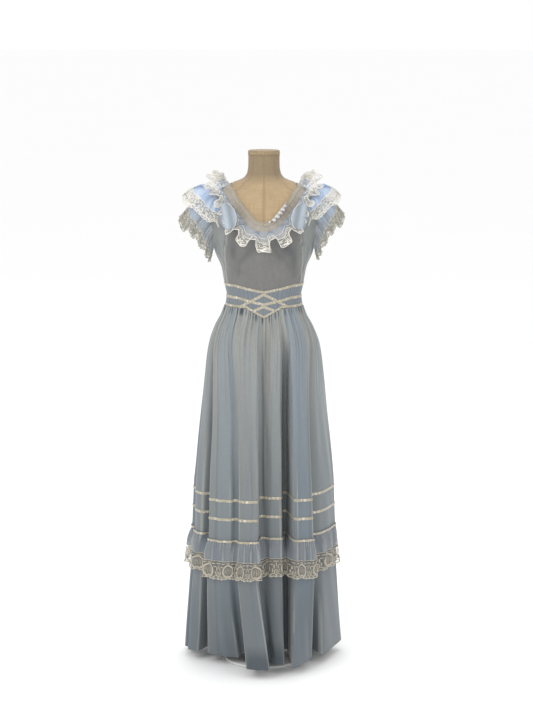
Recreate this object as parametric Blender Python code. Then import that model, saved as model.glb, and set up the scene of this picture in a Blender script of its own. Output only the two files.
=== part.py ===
"""A sheer floor-length evening gown on a limbless dress form, with its stand.

Metres, +Z up. The gown's front faces -Y. A turn is an angle round the body in degrees:
0 at centre front, 90 at the +X side and 180 at centre back. Every cloth piece is a thin wall.
"""

import math

import bpy
import numpy as np

# Cloth and seams
VOILE = 0.0015
TRIM = 0.0010
SEAM_GAP = 0.0003
SEAM_TURN = 0.1
UNDER_TRIM = SEAM_GAP + TRIM
CLOTH_ROUGHNESS = 0.8
SATIN_ROUGHNESS = 0.35

# The outer face of the bodice, worn, as level sections from the waist up
# Columns: z, half width, front, back
TORSO = (
    (1.055, 0.1195, 0.0960, 0.0910),
    (1.093, 0.1145, 0.0910, 0.0860),
    (1.128, 0.1105, 0.0880, 0.0810),
    (1.163, 0.1180, 0.0960, 0.0850),
    (1.205, 0.1255, 0.1070, 0.0920),
    (1.250, 0.1435, 0.1200, 0.1000),
    (1.280, 0.1530, 0.1230, 0.1030),
    (1.320, 0.1630, 0.1190, 0.1040),
    (1.360, 0.1700, 0.1090, 0.1010),
    (1.395, 0.1700, 0.0970, 0.0950),
    (1.420, 0.1620, 0.0880, 0.0870),
    (1.440, 0.1300, 0.0780, 0.0760),
    (1.457, 0.0960, 0.0700, 0.0680),
    (1.472, 0.0680, 0.0630, 0.0610),
)
BUST_TURN = 34
BUST_Z = 1.272
BUST_OUT = 0.009
BUST_SPREAD_TURN = 24
BUST_SPREAD_Z = 0.042

# The neck edge and the armhole, as places on that face
# Columns: turn, z
NECK = (
    (0, 1.351),
    (6, 1.355),
    (14, 1.379),
    (23, 1.409),
    (39, 1.438),
    (90, 1.457),
    (141, 1.450),
    (162, 1.437),
    (180, 1.431),
)
SHOULDER_ROW = 5
NECK_FRONT_STEPS = 7
NECK_BACK_STEPS = 6
YOKE_WIDTH = 0.029
YOKE_SEAM_GAP = 0.0007
# Columns: turn, z
ARMHOLE = (
    (90, 1.262),
    (80, 1.271),
    (71, 1.298),
    (67, 1.335),
    (69, 1.370),
    (76, 1.400),
    (90, 1.420),
)
PANEL_COLUMNS = 6
BODY_ROWS = 4
NECK_EDGING_SHARE = 0.75

# Waistband
WAIST_STEPS = 40
WAIST_Z = 1.128
BAND_TOP_SIDE = 1.163
BAND_TOP_CENTRE = 1.146
BAND_TOP_KNEE = 45
BAND_MIDDLE_SIDE = 1.123
BAND_MIDDLE_CENTRE = 1.106
BAND_MIDDLE_KNEE = 45
BAND_SEAM_SIDE = 1.0935
BAND_SEAM_CENTRE = 1.065
BAND_SEAM_KNEE = 27
RIBBON_WIDTH = 0.0095
# The lattice ribbons from near the centre crossing down to the bottom ribbon, and how far out they lie
# Columns: level, from turn, from z, to turn, to z, lift
LATTICE = (
    ("upper", 2.0, BAND_TOP_CENTRE - 1.6 * RIBBON_WIDTH, 37, BAND_SEAM_SIDE + 1.15 * RIBBON_WIDTH, 0.0034),
    ("lower", 2.0, BAND_MIDDLE_CENTRE - 1.1 * RIBBON_WIDTH, 14.5, BAND_SEAM_SIDE - 0.0020, 0.0026),
)
LATTICE_STEPS = 5

# Skirt: level rings as (z, half-width, half-depth, share of the folds, gather depth)
HEM_Z = 0.030
TRIM_ZONE_TOP = 0.56
TRIM_ZONE_FOOT = 0.29
SKIRT_HALF_WIDTH = 0.206
TRIM_ZONE_FLARE = 1.042
# Columns: z, half width, half depth, fold share, gather
SKIRT = (
    (1.0935, 0.1150, 0.0920, 0.00, 0.0022),
    (1.068, 0.1235, 0.1030, 0.03, 0.0034),
    (1.030, 0.1450, 0.1230, 0.14, 0.0032),
    (0.975, 0.1655, 0.1450, 0.34, 0.0018),
    (0.900, 0.1755, 0.1590, 0.56, 0.0006),
    (0.760, 0.1880, 0.1730, 0.80, 0.0),
    (0.560, 0.2060, 0.1900, 1.00, 0.0),
)
# One row for each large fold, from centre back round by the -X side: how many columns it takes,
# where its outer face begins and ends and where the valley after it lies, as turn and radius
# Columns: columns, from turn, from out, to turn, to out, valley turn, valley out
TRIM_ZONE_FOLDS = (
    (6, -176, 0.205, -160, 0.212, -153, 0.172),
    (6, -147, 0.215, -132, 0.218, -126, 0.176),
    (6, -118, 0.222, -89, 0.217, -82, 0.203),
    (5, -76, 0.213, -63, 0.205, -59, 0.170),
    (8, -45, 0.230, -27, 0.217, -23.5, 0.200),
    (9, -20, 0.213, -5, 0.206, -3.5, 0.145),
    (6, 1.5, 0.147, 19, 0.164, 37, 0.100),
    (9, 26, 0.200, 40.5, 0.223, 50, 0.166),
    (8, 61, 0.187, 97, 0.215, 106, 0.182),
    (6, 113, 0.216, 127, 0.220, 133, 0.178),
    (6, 139, 0.218, 153, 0.212, 159, 0.172),
    (5, 166, 0.208, 176, 0.207, 180, 0.180),
)
HEM_FOLDS = (
    (6, -176, 0.238, -160, 0.246, -152, 0.180),
    (6, -145, 0.250, -131, 0.256, -126, 0.186),
    (6, -117, 0.268, -94, 0.243, -90, 0.222),
    (5, -87, 0.236, -79, 0.205, -88, 0.166),
    (8, -73, 0.182, -37, 0.128, -34, 0.112),
    (9, -14, 0.217, 4.5, 0.227, 6.5, 0.152),
    (6, 10, 0.170, 20, 0.182, 45, 0.092),
    (9, 22.5, 0.221, 55, 0.176, 74, 0.138),
    (8, 68, 0.192, 112, 0.262, 119, 0.205),
    (6, 125, 0.256, 139, 0.252, 145, 0.192),
    (6, 151, 0.250, 162, 0.245, 166, 0.188),
    (5, 170, 0.240, 177, 0.240, 180.5, 0.200),
)
VALLEY_HALF_WIDTH = 0.0065
CREST_BULGE = 0.004
WIDE_CREST = 4
WALL_SHARPEST = 0.35
VALLEY_HEM_LIFT = 0.12
HEM_OUT = 0.225
POINT_CARRY = (0.95, 0.5)

# Ribbons and flounce on the skirt
SKIRT_RIBBONS = (("ribbon_skirt_upper", 0.537), ("ribbon_skirt_lower", 0.481))
HEADING_Z = 0.4155
FLOUNCE_LACE_TOP = 0.357
FLOUNCE_LACE_MIDDLE = 0.336
FLOUNCE_FOOT = 0.303
# Columns: z, stand off, gather
FLOUNCE = (
    (FLOUNCE_FOOT, 0.0150, 0.0030),
    (FLOUNCE_LACE_MIDDLE, 0.0130, 0.0030),
    (FLOUNCE_LACE_TOP, 0.0100, 0.0028),
)
FLOUNCE_VALLEY_SHARE = 0.35
FLOUNCE_VALLEY_OFF = 0.5
FLOUNCE_VALLEY_MOST = 0.020
LACE_SPLIT_COLUMN = 2
SIDE_SEAM_COLUMN = 19
SCALLOP_DEPTH = 0.007
SCALLOP_COLUMNS = 4
SCALLOP_SHAPE = (0.0, 0.7, 1.0, 0.7)
LACE_GAP_SHARE = 0.44

# Ruffles: a row for each place along the root, with the way the strip goes and how far
NECK_RUFFLE_WAVES = 24
# Columns: along, along torso, off torso, up, length, wave
NECK_RUFFLE = (
    (0.00, 0.88, 0.36, 0.00, 0.066, 0.0100),
    (0.10, 0.86, 0.38, -0.12, 0.074, 0.0100),
    (0.24, 0.80, 0.42, -0.30, 0.078, 0.0095),
    (0.40, 0.72, 0.55, 0.10, 0.070, 0.0075),
    (0.58, 0.45, 0.45, 0.70, 0.050, 0.0050),
    (0.80, 0.72, 0.50, 0.10, 0.064, 0.0065),
    (1.00, 0.86, 0.48, 0.00, 0.068, 0.0085),
)
NECK_RUFFLE_EVENING = 4
NECK_RUFFLE_CLEAR = 0.0001
NECK_LACE_SHARE = 0.56
LACE_SEAM_SHARE = 0.009
# Columns: along, out, fall, fore, length
UPPER_SLEEVE = (
    (0.00, 0.45, 0.70, 0.55, 0.040),
    (0.25, 0.78, 0.45, 0.42, 0.076),
    (0.50, 0.97, 0.14, 0.00, 0.092),
    (0.75, 0.78, 0.45, -0.42, 0.076),
    (1.00, 0.45, 0.70, -0.55, 0.040),
)
LOWER_SLEEVE = (
    (0.00, 0.28, 0.95, 0.12, 0.040),
    (0.22, 0.58, 0.80, 0.26, 0.066),
    (0.38, 0.72, 0.68, 0.16, 0.100),
    (0.50, 0.78, 0.62, 0.00, 0.116),
    (0.62, 0.72, 0.68, -0.16, 0.100),
    (0.78, 0.58, 0.80, -0.26, 0.066),
    (1.00, 0.28, 0.95, -0.12, 0.040),
)
SLEEVE_WAVES = 10
SLEEVE_WAVE = 0.0075
SLEEVE_LACE_SHARE = 0.66
SLEEVE_SAG = 0.010
SLEEVE_TAPER = 1.4
RIGHT_SLEEVE_REACH = 0.84
UPPER_SLEEVE_START = 0.62
LOWER_SLEEVE_START = 0.06
UPPER_SLEEVE_INSET = 0.014
LOWER_SLEEVE_INSET = 0.003
UPPER_SLEEVE_CLEAR = -0.0009
LOWER_SLEEVE_CLEAR = 0.0001
WAVE_COLUMNS = 3

# Dress form and stand
FORM_STEPS = 28
FORM_EASE = 0.0038
SEAT_EASE = 0.0008
SEAT_X = 0.130
SEAT_SPREAD = 0.012
SEAT_DEPTH = 0.024
SEAT_FOOT = 1.40
TIP_X = 0.160
TIP_EASE = 0.0065
FORM_TORSO_LEVELS = (
    *(1.093, 1.128, 1.163, 1.205, 1.250, 1.285),
    *(1.325, 1.365, 1.395, 1.420, 1.440, 1.457),
)
# Columns: z, half width, half depth
FORM_HIPS = ((0.885, 0.105, 0.080), (0.900, 0.122, 0.094), (0.970, 0.128, 0.099), (1.045, 0.115, 0.088))
FORM_NECK = ((1.473, 0.060, 0.055), (1.489, 0.0495, 0.0480), (1.510, 0.0465, 0.0460), (1.5395, 0.0462, 0.0458))
CAP_RADIUS = 0.0470
CAP_FOOT = 1.540
CAP_TOP = 1.554
CAP_EDGE = 0.0020
POLE_RADIUS = 0.0125
BASE_RADIUS = 0.120
BASE_HEIGHT = 0.009
BASE_EDGE = 0.0015
STAND_SIDES = 32

# Colours
BODICE_GREY = (0.225, 0.220, 0.210)
SKIRT_GREY = (0.300, 0.325, 0.335)
SHEER_BLUE = (0.560, 0.680, 0.870)
YOKE_GREY = (0.460, 0.430, 0.370)
BAND_BLUE = (0.200, 0.240, 0.280)
LACE_CREAM = (0.690, 0.650, 0.560)
SATIN_CREAM = (0.700, 0.640, 0.520)
LINEN = (0.500, 0.380, 0.240)
CAP_LINEN = (0.560, 0.450, 0.300)
PALE_ENAMEL = (0.780, 0.780, 0.760)
STEEL = (0.550, 0.550, 0.550)


def clear_scene():
    for thing in list(bpy.data.objects):
        bpy.data.objects.remove(thing, do_unlink=True)


def finish(colour, roughness, metallic=0.0):
    """A plain Principled finish, made once for each colour."""
    name = "finish_" + "_".join(f"{round(channel * 255):03d}" for channel in colour)
    material = bpy.data.materials.get(name)
    if material is None:
        material = bpy.data.materials.new(name)
        material.use_nodes = True
        shader = material.node_tree.nodes["Principled BSDF"]
        shader.inputs["Base Color"].default_value = (*colour, 1)
        shader.inputs["Roughness"].default_value = roughness
        shader.inputs["Metallic"].default_value = metallic
    return material


def smooth_between(table, at, column):
    """The value of one column of a table at a place given by its first column, without overshoot."""
    rows = np.asarray(table, float)
    keys, values = rows[:, 0], rows[:, column]
    steps = np.diff(values) / np.diff(keys)
    slopes = np.zeros(len(keys))
    rising = steps[:-1] * steps[1:] > 0
    product = np.where(rising, steps[:-1] * steps[1:], 0)
    slopes[1:-1] = 2 * product / np.where(rising, steps[:-1] + steps[1:], 1)
    slopes[0], slopes[-1] = steps[0], steps[-1]
    at = min(max(at, keys[0]), keys[-1])
    k = min(int(np.searchsorted(keys, at, "right")) - 1, len(keys) - 2)
    width = keys[k + 1] - keys[k]
    t = (at - keys[k]) / width
    return (
        values[k] * (1 + 2 * t) * (1 - t) ** 2
        + values[k + 1] * t * t * (3 - 2 * t)
        + width * t * (1 - t) * (slopes[k] * (1 - t) - slopes[k + 1] * t)
    )


def unit(vector):
    return vector / max(np.linalg.norm(vector), 1e-12)


class Sheet:
    """The outer face of a piece of cloth, as named points and triangles that face out."""

    def __init__(self):
        self.points = []
        self.number = {}
        self.triangles = []
        self.ways = {}

    def add(self, key, place, way=None):
        """A point, and the way out of the cloth there where it is known beforehand."""
        if way is not None:
            self.ways[len(self.points)] = way
        self.number[key] = len(self.points)
        self.points.append(np.asarray(place, float))

    def quad(self, *keys):
        """Two triangles, split along the shorter diagonal."""
        a, b, c, d = (self.number[key] for key in keys)
        across = np.linalg.norm(self.points[a] - self.points[c])
        other = np.linalg.norm(self.points[b] - self.points[d])
        if across <= other:
            self.triangles += [(a, b, c), (a, c, d)]
        else:
            self.triangles += [(a, b, d), (b, c, d)]

    def pierced_quad(self, share, *keys):
        """A quad with a gap in its middle, as wide as that share of it."""
        corners = [self.points[self.number[key]] for key in keys]
        middle = sum(corners) / 4
        inner = [("gap", *key) for key in keys]
        for key, corner in zip(inner, corners):
            self.add((key, keys), middle + (corner - middle) * share)
        for k in range(4):
            after = (k + 1) % 4
            self.quad(keys[k], keys[after], (inner[after], keys), (inner[k], keys))

    def grid(self, rows, closed, pierced=None, share=0.0, ways=None):
        """Rows of points, foot first and all the same way round. pierced picks the quads with a gap."""
        rows = np.asarray(rows, float)
        count = rows.shape[1]
        for r, row in enumerate(rows):
            for c, place in enumerate(row):
                self.add((r, c), place, None if ways is None else ways[r][c])
        for r in range(len(rows) - 1):
            for c in range(count if closed else count - 1):
                after = (c + 1) % count
                corners = ((r, c), (r, after), (r + 1, after), (r + 1, c))
                if pierced and pierced(r, c):
                    self.pierced_quad(share, *corners)
                else:
                    self.quad(*corners)
        return self

    def normals(self):
        """The outward direction at each point, longer where faces meet at an angle."""
        points = np.array(self.points)
        faces = np.array(self.triangles)
        a, b, c = (points[faces[:, k]] for k in range(3))
        face_normals = np.cross(b - a, c - a)
        face_units = face_normals / np.maximum(np.linalg.norm(face_normals, axis=1), 1e-15)[:, None]
        total = np.zeros_like(points)
        for k in range(3):
            here, one, two = (points[faces[:, (k + j) % 3]] for j in range(3))
            first, second = one - here, two - here
            lengths = np.linalg.norm(first, axis=1) * np.linalg.norm(second, axis=1)
            corner = np.arccos(np.clip((first * second).sum(1) / np.maximum(lengths, 1e-15), -1, 1))
            np.add.at(total, faces[:, k], face_units * corner[:, None])
        total /= np.maximum(np.linalg.norm(total, axis=1), 1e-12)[:, None]
        lean = np.ones(len(points))
        for k in range(3):
            np.minimum.at(lean, faces[:, k], (total[faces[:, k]] * face_units).sum(1))
        total /= np.clip(lean, 0.7, 1)[:, None]
        for number, way in self.ways.items():
            total[number] = way
        return total

    def raised(self, lift):
        """The same sheet moved out by lift."""
        normals = self.normals()
        self.points = [point + normal * lift for point, normal in zip(self.points, normals)]
        return self


def wall(name, sheet, thickness, colour, roughness=CLOTH_ROUGHNESS, inward=None):
    """A solid wall: the sheet, the same points further in, and a rim along every free edge."""
    outer = np.array(sheet.points)
    inner = outer - (sheet.normals() if inward is None else inward) * thickness
    count = len(outer)
    faces = [tuple(face) for face in sheet.triangles]
    faces += [(a + count, c + count, b + count) for a, b, c in sheet.triangles]
    directed = {(t[k], t[(k + 1) % 3]) for t in sheet.triangles for k in range(3)}
    for a, b in sorted(directed):
        if (b, a) not in directed:
            faces += [(b, a, a + count), (b, a + count, b + count)]
    return solid(name, np.vstack([outer, inner]), faces, colour, roughness)


def solid(name, points, faces, colour, roughness, metallic=0.0):
    mesh = bpy.data.meshes.new(name)
    mesh.from_pydata([tuple(point) for point in points], [], faces)
    mesh.update()
    piece = bpy.data.objects.new(name, mesh)
    bpy.context.scene.collection.objects.link(piece)
    mesh.materials.append(finish(colour, roughness, metallic))
    return piece


def lathe(name, rings, colour, roughness, metallic=0.0):
    """A solid through level rings of points, foot first, closed flat at both ends."""
    count = len(rings[0])
    points = [point for ring in rings for point in ring]
    faces = []
    for r in range(len(rings) - 1):
        for c in range(count):
            after = (c + 1) % count
            low, high = r * count, (r + 1) * count
            faces += [(low + c, low + after, high + after), (low + c, high + after, high + c)]
    foot, head = len(points), len(points) + 1
    points += [np.mean(rings[0], axis=0), np.mean(rings[-1], axis=0)]
    last = (len(rings) - 1) * count
    for c in range(count):
        after = (c + 1) % count
        faces += [(foot, after, c), (head, last + c, last + after)]
    return solid(name, points, faces, colour, roughness, metallic)


def round_ring(radius, z, steps=STAND_SIDES):
    turns = [2 * math.pi * k / steps for k in range(steps)]
    return [np.array((radius * math.cos(turn), radius * math.sin(turn), z)) for turn in turns]


def torso_point(turn, z):
    """A point of the bodice's outer face."""
    angle = math.radians(turn)
    half_width = smooth_between(TORSO, z, 1)
    depth = smooth_between(TORSO, z, 2 if math.cos(angle) >= 0 else 3)
    side = math.remainder(turn, 360)
    nearness = ((abs(side) - BUST_TURN) / BUST_SPREAD_TURN) ** 2 + ((z - BUST_Z) / BUST_SPREAD_Z) ** 2
    grow = 1 + BUST_OUT * math.exp(-nearness) / depth
    return np.array((half_width * math.sin(angle) * grow, -depth * math.cos(angle) * grow, z))


def torso_slopes(turn, z):
    """How the face goes with the turn and with the height, and the way out of it."""
    step_turn, step_z = 0.5, 0.001
    across = (torso_point(turn + step_turn, z) - torso_point(turn - step_turn, z)) / (2 * step_turn)
    up = (torso_point(turn, z + step_z) - torso_point(turn, z - step_z)) / (2 * step_z)
    return across, up, unit(np.cross(across, up))


def walked(turn, z, heading, distance, steps=6):
    """The turn and height reached by going that distance over the face, straight ahead."""
    for _ in range(steps):
        across, up, out = torso_slopes(turn, z)
        heading = unit(heading - out * heading.dot(out))
        move = np.linalg.lstsq(np.column_stack([across, up]), heading * distance / steps, rcond=None)[0]
        turn, z = turn + move[0], z + move[1]
    return turn, z


def on_torso(places):
    """The points at these places, and the ways out of the face there."""
    points = [torso_point(*place) for place in places]
    return np.array(points), np.array([torso_slopes(*place)[2] for place in places])


def even_places(table, steps, rows_used=None, first=0.0):
    """Places (turn, z) at even distances along a curve that a table gives on the torso."""
    rows = np.asarray(table, float)
    fine = np.linspace(*(rows_used or (0, len(rows) - 1)), 400)
    numbered = np.column_stack([np.arange(len(rows)), rows])
    places = [(smooth_between(numbered, at, 1), smooth_between(numbered, at, 2)) for at in fine]
    points = np.array([torso_point(*place) for place in places])
    run = np.concatenate([[0], np.cumsum(np.linalg.norm(np.diff(points, axis=0), axis=1))])
    marks = np.linspace(first, 1, steps + 1) * run[-1]
    turns = np.interp(marks, run, [place[0] for place in places])
    heights = np.interp(marks, run, [place[1] for place in places])
    return list(zip(turns, heights))


def neck_places(front_steps, back_steps):
    """The neck edge from centre front round by +X to centre back and home: (turn, z) each."""
    front = even_places(NECK, front_steps, (0, SHOULDER_ROW))
    back = even_places(NECK, back_steps, (SHOULDER_ROW, len(NECK) - 1))
    half = front + back[1:]
    return half + [(360 - turn, z) for turn, z in half[-2:0:-1]]


def off_neck(places, distance):
    """Places that lie that far from the neck edge over the torso, straight away from it."""
    points = np.array([torso_point(*place) for place in places])
    moved = []
    for k, (turn, z) in enumerate(places):
        along = points[(k + 1) % len(points)] - points[k - 1]
        out = torso_slopes(turn, z)[2]
        reached = walked(turn, z, np.cross(along, out), distance)
        moved.append((turn if turn % 90 == 0 else reached[0], reached[1]))
    return moved


def band_top(turn):
    near = max(0.0, 1 - abs(turn) / BAND_TOP_KNEE)
    return BAND_TOP_SIDE + (BAND_TOP_CENTRE - BAND_TOP_SIDE) * near


def band_middle(turn):
    near = max(0.0, 1 - abs(turn) / BAND_MIDDLE_KNEE)
    return BAND_MIDDLE_SIDE + (BAND_MIDDLE_CENTRE - BAND_MIDDLE_SIDE) * near


def band_seam(turn):
    near = max(0.0, 1 - abs(turn) / BAND_SEAM_KNEE)
    return BAND_SEAM_SIDE + (BAND_SEAM_CENTRE - BAND_SEAM_SIDE) * near


def form_point(turn, z):
    """The dress form under the bodice: it carries the bodice at the shoulders and is clear elsewhere."""
    place = torso_point(turn, z)
    ease = FORM_EASE
    for x, there in ((SEAT_X, SEAT_EASE), (TIP_X, TIP_EASE)):
        near = ((abs(place[0]) - x) / SEAT_SPREAD) ** 2 + (place[1] / SEAT_DEPTH) ** 2
        ease += (there - FORM_EASE) * math.exp(-near) * (z > SEAT_FOOT)
    return place - torso_slopes(turn, z)[2] * (VOILE + ease)


def make_form():
    def oval(z, half_width, half_depth):
        turns = [2 * math.pi * k / FORM_STEPS for k in range(FORM_STEPS)]
        return [np.array((half_width * math.sin(t), -half_depth * math.cos(t), z)) for t in turns]

    rings = [oval(*row) for row in FORM_HIPS]
    for z in FORM_TORSO_LEVELS:
        rings.append([form_point(360 * k / FORM_STEPS, z) for k in range(FORM_STEPS)])
    rings += [oval(*row) for row in FORM_NECK]
    lathe("form_torso", rings, LINEN, 0.9)
    cap = [
        round_ring(CAP_RADIUS, CAP_FOOT),
        round_ring(CAP_RADIUS, CAP_TOP - CAP_EDGE),
        round_ring(CAP_RADIUS - CAP_EDGE, CAP_TOP),
    ]
    lathe("form_neck_cap", cap, CAP_LINEN, 0.8)


def make_stand():
    form_foot = FORM_HIPS[0][0]
    base = [
        round_ring(BASE_RADIUS, 0),
        round_ring(BASE_RADIUS, BASE_HEIGHT - BASE_EDGE),
        round_ring(BASE_RADIUS - BASE_EDGE, BASE_HEIGHT),
    ]
    lathe("stand_base", base, PALE_ENAMEL, 0.4, 0.2)
    pole = [round_ring(POLE_RADIUS, BASE_HEIGHT + SEAM_GAP), round_ring(POLE_RADIUS, form_foot - SEAM_GAP)]
    lathe("stand_pole", pole, STEEL, 0.35, 0.9)


def bodice_half(sheet, side, seam, is_front):
    """One half of a bodice panel. seam is the yoke seam from the panel's centre to the shoulder."""
    steps = len(seam) - 1
    armhole = even_places(ARMHOLE, steps)
    if not is_front:
        armhole = [(180 - turn, z) for turn, z in armhole]
    centre, edge = (0, 90 - SEAM_TURN) if is_front else (180 - SEAM_TURN, 90 + SEAM_TURN)
    shares = [c / PANEL_COLUMNS for c in range(PANEL_COLUMNS + 1)]
    rows = []
    for r in range(BODY_ROWS + 1):
        row = []
        for share in shares:
            turn = centre + (edge - centre) * share
            foot = band_top(turn) + SEAM_GAP
            head = armhole[0][1] + (seam[0][1] - armhole[0][1]) * (1 - share) ** 2
            row.append((turn, foot + (head - foot) * r / BODY_ROWS))
        rows.append(row)
    for inner, outer in zip(seam[1:], armhole[1:]):
        ends = []
        for turn, z in (inner, outer):
            ends.append((min(turn, edge) if is_front else max(turn, edge), z))
        rows.append([tuple(ends[0][k] * (1 - s) + ends[1][k] * s for k in (0, 1)) for s in shares])

    def key(r, c):
        return ("centre", r) if is_front and c == 0 and r <= BODY_ROWS else (side, r, c)

    for r, row in enumerate(rows):
        for c, (turn, z) in enumerate(row):
            if key(r, c) not in sheet.number:
                sheet.add(key(r, c), torso_point(side * turn, z), torso_slopes(side * turn, z)[2])
    for r in range(len(rows) - 1):
        for c in range(PANEL_COLUMNS):
            corners = [key(r, c), key(r, c + 1), key(r + 1, c + 1), key(r + 1, c)]
            sheet.quad(*(corners if is_front == (side > 0) else corners[::-1]))


def make_bodice():
    """Front in one piece, and two backs that meet at a closed seam. Below the yoke seam all round."""
    seam = off_neck(neck_places(NECK_FRONT_STEPS, NECK_BACK_STEPS), YOKE_WIDTH + YOKE_SEAM_GAP)
    front = Sheet()
    for side in (1, -1):
        bodice_half(front, side, seam[: NECK_FRONT_STEPS + 1], True)
    wall("bodice_front", front, VOILE, BODICE_GREY)
    back_seam = seam[NECK_FRONT_STEPS : NECK_FRONT_STEPS + NECK_BACK_STEPS + 1][::-1]
    back_seam[0] = (180 - SEAM_TURN, back_seam[0][1])
    for name, side in (("bodice_back_right", 1), ("bodice_back_left", -1)):
        back = Sheet()
        bodice_half(back, side, back_seam, False)
        wall(name, back, VOILE, BODICE_GREY)


def make_yoke():
    """The sheer band inside the ruffle, joined at the shoulders, with narrow lace on the neck edge."""
    places = neck_places(NECK_FRONT_STEPS, NECK_BACK_STEPS)
    levels = [off_neck(places, YOKE_WIDTH), off_neck(places, YOKE_WIDTH / 2), places]
    rows, ways = zip(*(on_torso(level) for level in levels))
    rows, ways = np.array(rows), np.array(ways)
    count = rows.shape[1]
    front = range(-NECK_FRONT_STEPS, NECK_FRONT_STEPS + 1)
    back = range(NECK_FRONT_STEPS, count - NECK_FRONT_STEPS + 1)
    for name, columns in (("yoke_front", front), ("yoke_back", back)):
        numbers = [c % count for c in columns]
        chosen = drawn_in(rows[:, numbers])
        sheet = Sheet().grid(chosen, closed=False, ways=ways[:, numbers])
        wall(name, sheet, TRIM, YOKE_GREY)
    low = rows[2] + (rows[1] - rows[2]) * NECK_EDGING_SHARE
    edging = Sheet().grid([low, rows[2]], closed=True, ways=ways[1:]).raised(UNDER_TRIM)
    wall("neck_edging", edging, TRIM, LACE_CREAM)


def drawn_in(rows):
    """The same rows with both ends drawn back a little from the next piece."""
    rows = rows.copy()
    rows[:, 0] += unit_rows(rows[:, 1] - rows[:, 0]) * SEAM_GAP
    rows[:, -1] += unit_rows(rows[:, -2] - rows[:, -1]) * SEAM_GAP
    return rows


def unit_rows(vectors):
    return vectors / np.maximum(np.linalg.norm(vectors, axis=1), 1e-12)[:, None]


def waist_rows():
    """The waistband's three rows, seam first, and the ways out of it."""
    turns = [math.remainder(360 * k / WAIST_STEPS, 360) for k in range(WAIST_STEPS)]
    levels = (band_seam, lambda turn: WAIST_Z, band_top)
    rows, ways = zip(*(on_torso([(turn, level(turn)) for turn in turns]) for level in levels))
    ways[0][:, 2] = 0
    return np.array(rows), np.array(ways)


def on_band(rows, column, z):
    """The point of the waistband's own faces in that column at that height."""
    low, waist, high = (rows[r][column] for r in range(3))
    below, above = (low, waist) if z <= waist[2] else (waist, high)
    return below + (above - below) * (z - below[2]) / (above[2] - below[2])


def make_waistband():
    rows, ways = waist_rows()
    wall("waistband", Sheet().grid(rows, closed=True, ways=ways), VOILE, BAND_BLUE)
    turns = [math.remainder(360 * k / WAIST_STEPS, 360) for k in range(WAIST_STEPS)]
    half = RIBBON_WIDTH / 2
    centres = (
        ("ribbon_waist_top", lambda turn: band_top(turn) - half),
        ("ribbon_waist_middle", band_middle),
        ("ribbon_waist_bottom", lambda turn: band_seam(turn) + half),
    )
    for name, centre in centres:
        edges = []
        for offset in (-half, half):
            edges.append([on_band(rows, k, centre(turn) + offset) for k, turn in enumerate(turns)])
        wall(name, Sheet().grid(edges, closed=True).raised(UNDER_TRIM), TRIM, SATIN_CREAM, SATIN_ROUGHNESS)
    for side, word in ((1, "right"), (-1, "left")):
        for level, *run in LATTICE:
            make_lattice_ribbon(f"ribbon_lattice_{level}_{word}", side, *run)


def make_lattice_ribbon(name, side, from_turn, from_z, to_turn, to_z, lift):
    """A short ribbon that goes on past the centre crossing, down to the bottom ribbon."""
    edges = []
    for offset in (-RIBBON_WIDTH / 2, RIBBON_WIDTH / 2):
        edge = []
        for k in range(LATTICE_STEPS + 1):
            share = k / LATTICE_STEPS
            turn = from_turn + (to_turn - from_turn) * share
            edge.append(torso_point(side * turn, from_z + (to_z - from_z) * share + offset))
        edges.append(edge[::side])
    wall(name, Sheet().grid(edges, closed=False).raised(lift), TRIM, SATIN_CREAM, SATIN_ROUGHNESS)


def fold_ring(folds):
    """The plan of the folded cloth as one point a column, from centre back round by the -X side."""
    def place(turn, out):
        angle = math.radians(turn)
        return np.array((out * math.sin(angle), -out * math.cos(angle)))

    ring = []
    for row, fold in enumerate(folds):
        columns, from_turn, from_out, to_turn, to_out, valley_turn, valley_out = fold
        left, right = place(from_turn, from_out), place(to_turn, to_out)
        after = place(*folds[(row + 1) % len(folds)][1:3])
        across = right - left
        outward = np.array((across[1], -across[0])) / np.linalg.norm(across)
        crest = columns - 2
        for k in range(crest):
            share = k / (crest - 1)
            bulge = CREST_BULGE * math.sin(math.pi * share) * min(1.0, crest / WIDE_CREST)
            ring.append(left + across * share + outward * bulge)
        valley = place(valley_turn, valley_out)
        mouth = unit((right + after) / 2 - valley)
        beside = np.array((-mouth[1], mouth[0]))
        ring += [valley - beside * VALLEY_HALF_WIDTH, valley + beside * VALLEY_HALF_WIDTH]
    return np.array(ring)


SKIRT_STEPS = sum(row[0] for row in TRIM_ZONE_FOLDS)


def column_turn(column):
    return (column + 1) * 360 / SKIRT_STEPS - 180


def is_valley():
    """Which columns run down a valley."""
    marks = []
    for row in TRIM_ZONE_FOLDS:
        marks += [0] * (row[0] - 2) + [1, 1]
    return np.array(marks)


def skirt_ring(z):
    """The skirt's plan at a height, one (x, y) a column."""
    folded = fold_ring(TRIM_ZONE_FOLDS)
    if z >= TRIM_ZONE_TOP:
        table = sorted(SKIRT)
        half_width, half_depth, share, gather = (smooth_between(table, z, k) for k in range(1, 5))
        turns = np.radians([column_turn(c) for c in range(SKIRT_STEPS)])
        way = np.column_stack([np.sin(turns), -np.cos(turns)])
        pleat = gather * np.where(np.arange(SKIRT_STEPS) % 2, 1, -1)
        oval = way * (np.array((half_width, half_depth)) + pleat[:, None])
        return oval * (1 - share) + folded * share * half_width / SKIRT_HALF_WIDTH
    zone = (TRIM_ZONE_TOP - z) / (TRIM_ZONE_TOP - TRIM_ZONE_FOOT)
    if zone <= 1:
        return folded * (1 + (TRIM_ZONE_FLARE - 1) * zone)
    drop = (TRIM_ZONE_FOOT - z) / (TRIM_ZONE_FOOT - HEM_Z)
    return folded * TRIM_ZONE_FLARE * (1 - drop) + fold_ring(HEM_FOLDS) * drop


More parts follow.
